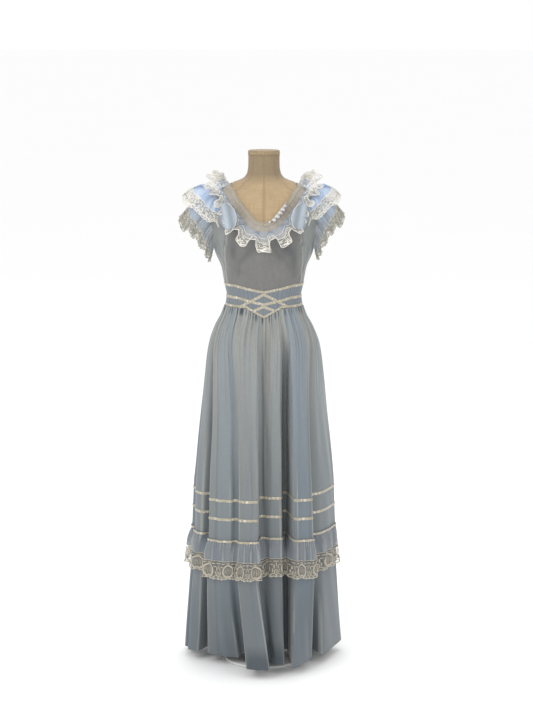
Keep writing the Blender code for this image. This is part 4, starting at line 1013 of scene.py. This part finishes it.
# The band's tint paints light on the gathers' ridges and shade between them
make(
    "waistband_voile", on_band(turn + 0 * share, seam * (1 - share) + top * share, 0.0003 * gathers * held),
    voile("band_voile", BAND_BLUE, BAND_PALE, sheen=0.25), "band_voile", "waistband", (0.72, 0.07),
    tint=pair(clip(0.35 + 0.12 * gathers, 0, 1), clip(-gathers * 0.25, 0, 1)), rests_on=["form_body"],
)
half = 0.43 * RIBBON_WIDTH
across = linspace(-1, 1, 7)[:, None]
roll = 0.0009 * (1 - across**4) + 0.00025 * sin(angle * 43 + across)
for word, centre, narrow in (
    ("top", top - half, 1.0), ("middle", middle, 1.0), ("bottom", seam + half, 0.94),
):
    make(
        f"waist_ribbon_{word}", on_band(turn + 0 * across, centre + across * half * narrow, 0.0006 + roll),
        cream_satin, "cream_satin", f"ribbon_waist_{word}", (0.72, 0.01), "stretched",
        rests_on=["waistband_voile"],
    )
for side, word in ((1, "right"), (-1, "left")):
    for level, from_turn, from_z, to_turn, to_z, lift in LATTICE:
        along = linspace(0, 1, 40)
        places = side * (from_turn + (to_turn - from_turn) * along), from_z + (to_z - from_z) * along
        line, out = torso(*places), outward(*places)
        sideways = unit(np.cross(out, np.gradient(line, axis=0)))
        rise = lift + 0.0006 * (side > 0) * (along < 0.15) + 0.0006 * (1 - across**4)
        ribbon = line + sideways * (across * half)[..., None] + out * rise[..., None]
        make(
            f"lattice_ribbon_{level}_{word}", ribbon, cream_satin, "cream_satin",
            f"ribbon_lattice_{level}_{word}",
            (round(float(norm(np.diff(line, axis=0)).sum()), 3), 0.01), "stretched", False,
            rests_on=["waistband_voile"],
        )


# THE SKIRT
# A full skirt of grey-blue voile, a front and a back seamed at the sides, gathered into the
# waistband and falling in deep folds nearly to the floor. The hem is turned up and hand-sewn.
HEM_Z = 0.03
TRIM_ZONE_TOP = 0.56
TRIM_ZONE_FOOT = 0.29
TRIM_ZONE_FLARE = 1.042
SKIRT_HALF_WIDTH = 0.206
# Columns: z, half width, half depth, fold share, gather
SKIRT = (
    (0.56, 0.206, 0.19, 1.0, 0.0),
    (0.76, 0.188, 0.173, 0.8, 0.0),
    (0.9, 0.1755, 0.159, 0.56, 0.0006),
    (0.975, 0.1655, 0.145, 0.34, 0.0018),
    (1.03, 0.145, 0.123, 0.14, 0.0032),
    (1.068, 0.1235, 0.103, 0.03, 0.0034),
    (1.0935, 0.115, 0.092, 0.0, 0.0022),
)
# One row for each large fold, from centre back round by the -X side
# Columns: columns, from turn, from out, to turn, to out, valley turn, valley out
TRIM_ZONE_FOLDS = (
    (6, -176, 0.205, -160, 0.212, -153, 0.172),
    (6, -147, 0.215, -132, 0.218, -126, 0.176),
    (6, -118, 0.222, -89, 0.217, -82, 0.203),
    (5, -76, 0.213, -63, 0.205, -59, 0.17),
    (8, -45, 0.23, -27, 0.217, -23.5, 0.2),
    (9, -20, 0.213, -5, 0.206, -3.5, 0.145),
    (6, 1.5, 0.147, 19, 0.164, 37, 0.1),
    (9, 26, 0.2, 40.5, 0.223, 50, 0.166),
    (8, 61, 0.187, 97, 0.215, 106, 0.182),
    (6, 113, 0.216, 127, 0.22, 133, 0.178),
    (6, 139, 0.218, 153, 0.212, 159, 0.172),
    (5, 166, 0.208, 176, 0.207, 180, 0.18),
)
HEM_FOLDS = (
    (6, -176, 0.238, -160, 0.246, -152, 0.18),
    (6, -145, 0.25, -131, 0.256, -126, 0.186),
    (6, -117, 0.268, -94, 0.243, -90, 0.222),
    (5, -87, 0.236, -79, 0.205, -88, 0.166),
    (8, -73, 0.182, -37, 0.128, -34, 0.112),
    (9, -14, 0.217, 4.5, 0.227, 6.5, 0.152),
    (6, 10, 0.17, 20, 0.182, 45, 0.092),
    (9, 22.5, 0.221, 55, 0.176, 74, 0.138),
    (8, 68, 0.192, 112, 0.262, 119, 0.205),
    (6, 125, 0.256, 139, 0.252, 145, 0.192),
    (6, 151, 0.25, 162, 0.245, 166, 0.188),
    (5, 170, 0.24, 177, 0.24, 180.5, 0.2),
)
COLUMNS = 80
FINE = 10
SIDE_SEAM_COLUMN = 19
VALLEY_HALF_WIDTH = 0.0065
CREST_BULGE = 0.004
FOLD_ROUNDING = 0.02
VALLEY_HEM_LIFT = 0.12
HEM_OUT = 0.225
# How the skirt's cloth looks round it: the doubled cloth's blue against warm grey, and painted shade, deepest
# in the valleys. Columns: column, blue against warm grey, deep against light
PANELS = (
    (0, 0.5, 0.3), (4, 0.2, 0.1), (8, 0.7, 0.4), (12, 0.3, 0.2), (16, 0.8, 0.5), (20, 0.3, 0.2),
    (22.5, 0.0, 0.0), (24.5, 0.2, 0.1), (24.9, 0.4, 0.9), (25.3, 0.6, 0.1), (28.4, 0.5, 0.0),
    (28.9, 0.9, 0.6), (29.4, 0.8, 0.5), (29.9, 0.1, 0.1), (32, 0.0, 0.1), (34, 0.3, 0.2),
    (36, 0.2, 0.0), (38.3, 0.3, 0.0), (38.6, 0.0, 0.7), (40.4, 0.0, 0.7), (40.7, 0.1, 0.0),
    (42.8, 0.2, 0.0), (43.3, 0.2, 0.35), (45.0, 0.1, 0.35), (45.5, 0.8, 0.2), (48, 1.0, 0.3),
    (50.6, 0.8, 0.2), (51.1, 0.5, 0.9), (51.5, 0.1, 0.1), (54, 0.2, 0.0), (57, 0.5, 0.1),
    (59.5, 0.4, 0.1), (63, 0.8, 0.4), (67, 0.3, 0.1), (71, 0.7, 0.5), (75, 0.3, 0.2), (80, 0.5, 0.3),
)
GATHER_DEPTH = 0.0042
GATHER_Z = 1.072
POINT_DIP = ((0.975, 0.0), (1.03, 0.5), (1.068, 0.95), (1.0935, 1.0))
SKIRT_WARM = (0.255, 0.258, 0.236)
SKIRT_BLUE = (0.195, 0.236, 0.272)
SKIRT_SHADOW = (0.066, 0.08, 0.09)
# Columns: from column, from z, to column, to z, width in columns, depth
SKIRT_CREASES = (
    (31.0, 0.98, 32.0, 0.42, 0.6, -0.004),
    (33.5, 1.0, 33.0, 0.55, 0.45, 0.003),
    (35.2, 0.95, 35.6, 0.2, 0.55, -0.0035),
    (27.5, 1.02, 27.0, 0.62, 0.5, -0.003),
    (25.6, 0.9, 26.2, 0.12, 0.6, 0.0035),
    (23.8, 1.02, 24.2, 0.46, 0.45, -0.0028),
    (38.6, 1.02, 38.8, 0.48, 0.4, -0.003),
    (41.5, 0.98, 41.0, 0.3, 0.5, 0.0028),
    (44.6, 1.0, 45.4, 0.42, 0.5, -0.0036),
    (47.4, 0.92, 47.0, 0.1, 0.6, 0.0035),
    (52.0, 1.0, 52.6, 0.36, 0.55, -0.0034),
    (54.4, 0.92, 54.0, 0.16, 0.6, 0.0034),
    (20.4, 0.96, 20.0, 0.34, 0.5, 0.0028),
    (14.2, 0.98, 14.8, 0.25, 0.6, -0.0034),
    (8.3, 1.0, 8.0, 0.3, 0.55, 0.0032),
    (2.4, 0.99, 2.9, 0.22, 0.55, -0.0034),
    (60.5, 0.98, 60.0, 0.3, 0.55, 0.0032),
    (66.0, 0.99, 66.7, 0.25, 0.6, -0.0034),
    (72.3, 1.0, 72.0, 0.3, 0.55, 0.0032),
    (77.0, 0.98, 77.4, 0.28, 0.5, -0.003),
)


def fold_ring(folds):
    """The plan of the folded cloth as one point a column."""
    rows = np.array(folds)
    ends = oval(rows[:, 2::2], rows[:, 2::2], 0, radians(rows[:, 1::2]))[..., :2]
    ring = []
    for k, (left, right, valley) in enumerate(ends):
        crest = int(rows[k, 0]) - 2
        along = right - left
        out = unit(np.array((along[1], -along[0])))
        share = arange(crest)[:, None] / (crest - 1)
        ring.extend(left + along * share + out * CREST_BULGE * sin(pi * share) * min(1, crest / 4))
        mouth = unit((right + ends[(k + 1) % len(ends), 0]) / 2 - valley)
        beside = np.array((-mouth[1], mouth[0])) * VALLEY_HALF_WIDTH
        ring += [valley - beside, valley + beside]
    return np.array(ring)


def rounded(ring, reach=FOLD_ROUNDING):
    """The same plan with FINE points a column, and its corners rounded off."""
    following = np.roll(ring, -1, axis=0)
    lengths = norm(following - ring)[:, None]
    ahead = (following - ring) / lengths
    cut = np.minimum(reach, 0.46 * np.minimum(lengths, np.roll(lengths, 1)))
    next_cut = np.roll(cut, -1)
    before, after = np.roll(ahead, 1, axis=0) * -cut, np.roll(ahead, -1, axis=0) * next_cut
    fine = []
    for k in range(FINE):
        gone = lengths * k / FINE
        left = lengths - gone
        w = 0.5 + 0.5 * gone / cut
        turn_in = ring + before * (1 - w) ** 2 + ahead * cut * w**2
        w = 0.5 - 0.5 * left / next_cut
        turn_out = following - ahead * next_cut * (1 - w) ** 2 + after * w**2
        fine.append(np.where(gone < cut, turn_in, np.where(left < next_cut, turn_out, ring + ahead * gone)))
    return stack(fine, axis=1).reshape(-1, 2)


def moved_out(ring, distance):
    """A closed plan moved level outwards."""
    along = run_round(ring, True)
    return ring + unit(stack([along[:, 1], -along[:, 0]], axis=1)) * np.asarray(distance)[..., None]


valley_columns = concatenate([[0] * (row[0] - 2) + [1, 1] for row in TRIM_ZONE_FOLDS])
column = arange(COLUMNS)
fine_column = arange(COLUMNS * FINE) / FINE
TRIM_PLAN, HEM_PLAN = fold_ring(TRIM_ZONE_FOLDS), fold_ring(HEM_FOLDS)


def coarse_plan(z):
    """The skirt's plan at a height, as COLUMNS points."""
    if z < TRIM_ZONE_FOOT:
        drop = (TRIM_ZONE_FOOT - z) / (TRIM_ZONE_FOOT - HEM_Z)
        return TRIM_PLAN * TRIM_ZONE_FLARE * (1 - drop) + HEM_PLAN * drop
    if z < TRIM_ZONE_TOP:
        flare = (TRIM_ZONE_FLARE - 1) * (TRIM_ZONE_TOP - z) / (TRIM_ZONE_TOP - TRIM_ZONE_FOOT)
        return TRIM_PLAN * (1 + flare)
    half_width, half_depth, share, gather = (float(between(SKIRT, z, k)) for k in range(1, 5))
    pleat = gather * np.where(column % 2, 1, -1) * (1 + 0.4 * sin(column * 1.9))
    turns = radians((column + 1) * 360 / COLUMNS - 180)
    plan = oval(half_width + pleat, half_depth + pleat, 0, turns)[:, :2]
    return plan * (1 - share) + TRIM_PLAN * share * half_width / SKIRT_HALF_WIDTH


gather_turns = pi * (fine_column * 0.7 + 0.35 * sin(fine_column * 0.9) + 0.2 * sin(fine_column * 2.3))


def skirt_creases(z):
    """How far creases lift each fine column at a height."""
    total = np.zeros(len(fine_column))
    for from_column, from_z, to_column, to_z, width, depth in SKIRT_CREASES:
        t = (from_z - z) / (from_z - to_z)
        if 0 < t < 1:
            centre = from_column + (to_column - from_column) * t
            away = (fine_column - centre + COLUMNS / 2) % COLUMNS - COLUMNS / 2
            total += depth * np.exp(-((away / width) ** 2)) * sin(pi * t) ** 0.7
    high = clip((z - 0.8) / 0.2, 0, 1)
    gather = max(0.0, 1 - abs(z - GATHER_Z) / 0.045) * GATHER_DEPTH * (np.abs(sin(gather_turns)) ** 0.6 - 0.6)
    wander = fine_column + 0.25 * sin(z * 9) + 0.3 * sin(fine_column * 0.7 + z * 4)
    pleats = sin(2 * pi * wander * 0.9) + 0.7 * sin(2 * pi * wander * 1.6 + 1)
    slack = sin(2 * pi * wander * 0.35 + 6 * z) * sin(0.5 * fine_column + 11 * z)
    return total + gather + 0.0013 * high * pleats + 0.0012 * (1 - high) * slack


def skirt_plan(z, off=0.0):
    """The fine plan at a height, and lying that far off the cloth."""
    ring = rounded(coarse_plan(z), 0.006 + (FOLD_ROUNDING - 0.006) * clip((1.03 - z) / 0.2, 0, 1))
    return moved_out(moved_out(ring, skirt_creases(z)), off)


def level_rows(plans, heights):
    return np.array([np.column_stack([plan, z + np.zeros(len(plan))]) for plan, z in zip(plans, heights)])


def fold_depths(plans):
    """How deep in a valley each place of the skirt's cloth lies, for the painted shade there."""
    out = norm(plans * (1, 1.06))
    reach = sum(np.roll(out, k, axis=1) for k in range(-60, 61, 6)) / 21
    return clip((reach - out) / 0.03, 0, 1)


def fold_edges(plans):
    """How sharply the cloth turns outwards, where its doubled edge looks paler: partly the doubled cloth,
    partly a painted sheen.
    """
    ahead = unit(np.roll(plans, -1, axis=1) - plans)
    turned = np.cross(ahead, np.roll(ahead, -1, axis=1))
    return clip((turned * np.sign(turned.sum(axis=1, keepdims=True)) - 0.1) / 0.12, 0, 1)


lift_hem = VALLEY_HEM_LIFT * np.maximum(0, HEM_OUT - norm(HEM_PLAN)) * valley_columns
lift_hem = np.interp(fine_column, arange(COLUMNS + 1), np.append(lift_hem, lift_hem[0]))
dip = pointed((fine_column + 1) * 360 / COLUMNS - 180, *BAND_SEAM) - BAND_SEAM[0]
levels = concatenate([linspace(HEM_Z, 0.29, 22), linspace(0.303, 0.95, 48), linspace(0.96, 1.0932, 28)])
levels = levels[:, None]
plans = np.array([skirt_plan(float(z[0])) for z in levels])
raised = lift_hem * np.maximum(0, (TRIM_ZONE_FOOT - levels) / (TRIM_ZONE_FOOT - HEM_Z))
skirt_grid = level_rows(plans, levels + raised + dip * between(POINT_DIP, levels, 1))
# The skirt's tint: bluer and darker towards the bottom, darker and warmer at the hem over the front folds,
# painted shade in the valleys, in the pinched gathers under the waistband and in the panel table's deep
# places, and a pale painted sheen along the fold edges
low = clip((1.0 - levels) / 0.8, 0, 1) ** 0.75
blue, deeper = (between(PANELS, fine_column, k) for k in (1, 2))
streaks = 0.07 * sin(fine_column * 2.7 + 2) + 0.05 * sin(fine_column * 5.3 + 3 * levels)
gather_shade = (1 - np.abs(sin(gather_turns))) ** 2 * clip(1 - np.abs(levels - 1.086) / 0.016, 0, 1)
in_hem = clip((HEM_Z + 0.075 - levels) / 0.055, 0, 1) * clip(3.2 - np.abs(fine_column - 37) / 2.2, 0, 1)
fading = clip((1.06 - levels) / 0.06, 0, 1)
edges = fold_edges(plans) * (1 - 0.75 * clip((levels - 0.55) / 0.2, 0, 1))
tone = clip(0.05 + 0.35 * low + 0.75 * blue + streaks, 0, 1) * (1 - np.minimum(in_hem, 0.8))
tone = np.where(edges > 0.35, (0.35 - edges) * 0.8, tone)
darker = 0.8 * low + 0.16 * fold_depths(plans) + 0.42 * deeper * fading * (1 - 0.6 * low)
skirt_tint = pair(tone, clip(darker + 2.2 * gather_shade + 0.55 * in_hem, 0, 1.25))
skirt_voile = voile("skirt_voile", SKIRT_WARM, SKIRT_BLUE, dark=0.8, shadow=SKIRT_SHADOW)


def half_round(start):
    """The fine columns of half the skirt, from that column."""
    return arange(start * FINE, (start + COLUMNS // 2) * FINE + 1)


HALVES = {
    word: half_round(start) % (COLUMNS * FINE)
    for word, start in (("front", SIDE_SEAM_COLUMN), ("back", SIDE_SEAM_COLUMN + COLUMNS // 2))
}
for word, chosen in HALVES.items():
    make(
        f"skirt_{word}_cloth", skirt_grid[:, chosen], skirt_voile, "skirt_voile", f"skirt_{word}",
        (1.12, 1.07), closed=False, tint=skirt_tint[:, chosen], area=0.95,
    )


# THE SKIRT'S RIBBONS AND FLOUNCE
# Two cream satin ribbons are stitched round the skirt. Below them a flounce of light blue voile
# hangs from a ribbon-threaded heading, and deep scalloped lace is sewn on its lower edge.
SKIRT_RIBBONS = (("upper", 0.537), ("lower", 0.481))
HEADING_Z = 0.4155
FLOUNCE_LACE_TOP = 0.357
# Columns: z, stand off, gather
FLOUNCE = ((0.303, 0.015, 0.003), (0.336, 0.013, 0.003), (0.357, 0.01, 0.0028))
SKIRT_LACE_ROWS = 26
SCALLOP_DEPTH = 0.007
SCALLOP_REPEAT = 0.075
SCALLOP_LACE_DEPTH = 0.058
LACE_SPLIT_COLUMN = 2
LACE_DUSTY = (0.4, 0.365, 0.295)
SCALLOP_MOTIFS = (
    (0.0, 0.0255, 0.0185, 0.0195, 0.0026),
    (0.0, 0.0255, 0.0008, 0.0155, 0.0),
    (0.0048, 0.0255, 0.0008, 0.0146, 0.0),
    (0.0094, 0.0255, 0.0008, 0.0124, 0.0),
    (0.0134, 0.0255, 0.0007, 0.0082, 0.0),
    (0.015, 0.002, 0.0072, 0.0062, 0.0016),
    (0.029, 0.003, 0.0078, 0.0068, 0.0016),
    (0.0, 0.003, 0.0068, 0.0055, 0.0014),
    (0.0375, 0.015, 0.006, 0.0075, 0.0014),
    (0.0375, 0.015, 0.0022, 0.003, 0.0),
    (0.027, 0.02, 0.0018, 0.007, 0.0),
    (0.031, 0.032, 0.002, 0.0075, 0.0),
    (0.024, 0.04, 0.006, 0.0018, 0.0),
    (0.0375, 0.04, 0.0018, 0.0085, 0.0),
    (0.033, 0.05, 0.0052, 0.0018, 0.0),
    (0.018, 0.05, 0.007, 0.0018, 0.0),
    (0.003, 0.051, 0.006, 0.0016, 0.0),
)
SKIRT_CLOTHS = ["skirt_front_cloth", "skirt_back_cloth"]
ribbon_across = linspace(-1, 1, 5)
ribbon_roll = 1 - ribbon_across**4
for word, centre in SKIRT_RIBBONS:
    levels = centre + ribbon_across * half
    ribbon_plans = [skirt_plan(z, 0.0008 + 0.0008 * roll) for z, roll in zip(levels, ribbon_roll)]
    make(
        f"skirt_ribbon_{word}", level_rows(ribbon_plans, levels), cream_satin, "cream_satin",
        f"ribbon_skirt_{word}", (1.9, 0.01), "draped", rests_on=SKIRT_CLOTHS,
    )


def flounce_plan(z):
    """The flounce's plan: over the skirt's crests, dipping a little into its valleys, and waved."""
    stand_off, gather = float(between(FLOUNCE, z, 1)), float(between(FLOUNCE, z, 2))
    ring = coarse_plan(z)
    columns = np.flatnonzero(valley_columns)
    dips = np.zeros_like(ring)
    for first, second in zip(columns[::2], columns[1::2]):
        left, right = ring[first - 1].copy(), ring[(second + 1) % COLUMNS].copy()
        centre = (left + right) / 2
        floor = (ring[first] + ring[second]) / 2 - centre
        dips[[first, second]] = unit(floor) * min(0.35 * norm(floor), 0.02)
        ring[first], ring[second] = centre - (right - left) / 6, centre + (right - left) / 6
    plan = moved_out(ring, np.where(valley_columns, 0.5 * stand_off, stand_off))
    wave = 0.15 * sin(2.3 * pi * fine_column + sin(fine_column))
    wave -= cos(pi * fine_column + 0.6 * sin(fine_column * 0.55))
    return moved_out(rounded(plan + dips, 0.012), gather * wave)


flounce_blue = voile(
    "flounce_voile", (0.195, 0.213, 0.226), (0.138, 0.162, 0.19), alpha=0.78, dark=0.4, sheen=0.4
)
drawn_up = sin(2 * pi * fine_column * 1.6 + 2 * sin(fine_column))
flounce_top = flounce_plan(FLOUNCE_LACE_TOP)
heading_foot = HEADING_Z - half
levels = concatenate([
    linspace(FLOUNCE_LACE_TOP, heading_foot, 12), linspace(HEADING_Z, HEADING_Z + half, 3)
])
flounce_plans = []
for z in levels:
    t = min(1.0, (z - FLOUNCE_LACE_TOP) / (heading_foot - FLOUNCE_LACE_TOP))
    on_skirt = moved_out(skirt_plan(z, 0.0016), 0.0005 * drawn_up * t)
    flounce_plans.append(flounce_top * (1 - t**1.9) + on_skirt * t**1.9)
pinch = clip(0.5 - 0.5 * drawn_up, 0, 1)
near_heading = clip((levels - 0.375) / 0.03, 0, 1)[:, None]
edges = fold_edges(np.array(flounce_plans))
clouds = 0.5 + 0.3 * sin(fine_column * 1.3) + 0.2 * sin(fine_column * 3.1)
# The tint: a pale painted sheen along the fold edges, and painted shade near the heading, deepest in the
# drawn-up gathers
flounce_tint = pair(clouds * (1 - edges) - 0.5 * edges, (0.25 * pinch + 0.1) * near_heading)
flounce_grid = level_rows(flounce_plans, levels)
for word, chosen in HALVES.items():
    make(
        f"flounce_{word}_voile", flounce_grid[:, chosen], flounce_blue, "sheer_blue",
        f"skirt_flounce_{word}", (1.3, 0.065), closed=False, tint=flounce_tint[:, chosen],
        area=0.065, rests_on=[f"skirt_{word}_cloth"],
    )
levels = HEADING_Z + ribbon_across * half * 0.85
small_waves = 0.0006 * sin(2 * pi * fine_column * 1.25)
heading = [
    moved_out(skirt_plan(z, 0.0032 + 0.0007 * roll), small_waves) for z, roll in zip(levels, ribbon_roll)
]
make(
    "heading_ribbon", level_rows(heading, levels), cream_satin, "cream_satin", "ribbon_flounce_heading",
    (1.9, 0.01), "draped", rests_on=["flounce_front_voile", "flounce_back_voile"],
)

scallop_lace = lace("scallop_lace", LACE_DUSTY, SCALLOP_REPEAT, SCALLOP_MOTIFS, 0.0034, 0.16, band=0.0022)
dusty_cord = twisted("dusty_cord", (0.5, 0.465, 0.385))
scallop = 0.0042 * np.abs(sin(pi * fine_column / 4)) ** 0.8
scallop += 0.0028 * np.abs(sin(pi * fine_column * 1.25)) ** 0.7
lace_foot = FLOUNCE[0][0]
foot = lace_foot - scallop + SCALLOP_DEPTH
shares = linspace(0, 1, SKIRT_LACE_ROWS)
lace_plans = [flounce_plan(lace_foot + (FLOUNCE_LACE_TOP - lace_foot) * share) for share in shares]
lace_rows = level_rows(lace_plans, foot + (FLOUNCE_LACE_TOP - foot) * shares[:, None])
for place, row, radius in (("edge", 0, 0.0013), ("top", -1, 0.0008)):
    sew_cord(f"skirt_lace_{place}_cord", lace_rows[row], lace_rows[1] - lace_rows[0], radius, dusty_cord)
heights = lace_places(SKIRT_LACE_ROWS, 1, 0, SCALLOP_REPEAT, SCALLOP_LACE_DEPTH)[..., 1]
for word, start in (("left", LACE_SPLIT_COLUMN), ("right", LACE_SPLIT_COLUMN + COLUMNS // 2)):
    run = half_round(start)
    make(
        f"skirt_lace_{word}_strip", lace_rows[:, run % (COLUMNS * FINE)], scallop_lace, "cream_lace",
        f"skirt_lace_{word}", (0.95, 0.055), closed=False,
        tint=pair(run / FINE / 4 * SCALLOP_REPEAT, heights), rests_on=SKIRT_CLOTHS,
    )


# THE ROOM
# A wide pale floor under an even white sky, soft light from the left and above, and the camera of
# the photograph.
FLOOR = (0.985, 0.985, 0.985)
floor_grid = [[(x, y, -0.0005) for x in (-90, 90)] for y in (-90, 90)]
backdrop = surface("floor", floor_grid, False, home=0 * AXIS)
paper = Finish("paper", 0.95, Specular_IOR_Level=0.1)
paper.colour(paper.mix(paper.noise(0.6, 2), FLOOR, shaded(FLOOR, 0.99)))
backdrop.data.materials.append(paper.material)
world = bpy.data.worlds.new("studio")
world.use_nodes = True
world.node_tree.nodes["Background"].inputs["Color"].default_value = (1, 1, 1, 1)
world.node_tree.nodes["Background"].inputs["Strength"].default_value = 1.0
bpy.context.scene.world = world
bpy.context.scene.view_settings.view_transform = "Standard"
# Columns: name, power, size, place, tilt and turn in degrees
LIGHTS = (
    ("key", 70, 2.2, (-2.6, -3.2, 3.4), (52, 0, -38)),
    ("fill", 18, 3.0, (3.2, -2.8, 2.2), (64, 0, 48)),
    ("front", 50, 1.6, (0.3, -6.6, 2.4), (79, 0, 2)),
    ("back", 40, 2.5, (0.5, 1.6, 4.2), (-20, 0, 0)),
)
for name, power, size, place, tilt in LIGHTS:
    lamp = bpy.data.lights.new(name, "AREA")
    lamp.energy, lamp.size = power, size
    holder = bpy.data.objects.new(name, lamp)
    holder.location, holder.rotation_euler = place, radians(tilt)
    bpy.context.scene.collection.objects.link(holder)
LENS = 106.3
CAMERA_PLACE = (0.0075, -6.21, 1.973)
CAMERA_DOWN = 9.45
camera = bpy.data.cameras.new("camera")
camera.lens = LENS
camera.sensor_fit = "VERTICAL"
camera.sensor_height = camera.sensor_width = 36
camera_holder = bpy.data.objects.new("camera", camera)
camera_holder.location = AXIS + CAMERA_PLACE
camera_holder.rotation_euler = (radians(90 - CAMERA_DOWN), 0, 0)
bpy.context.scene.collection.objects.link(camera_holder)
bpy.context.scene.camera = camera_holder
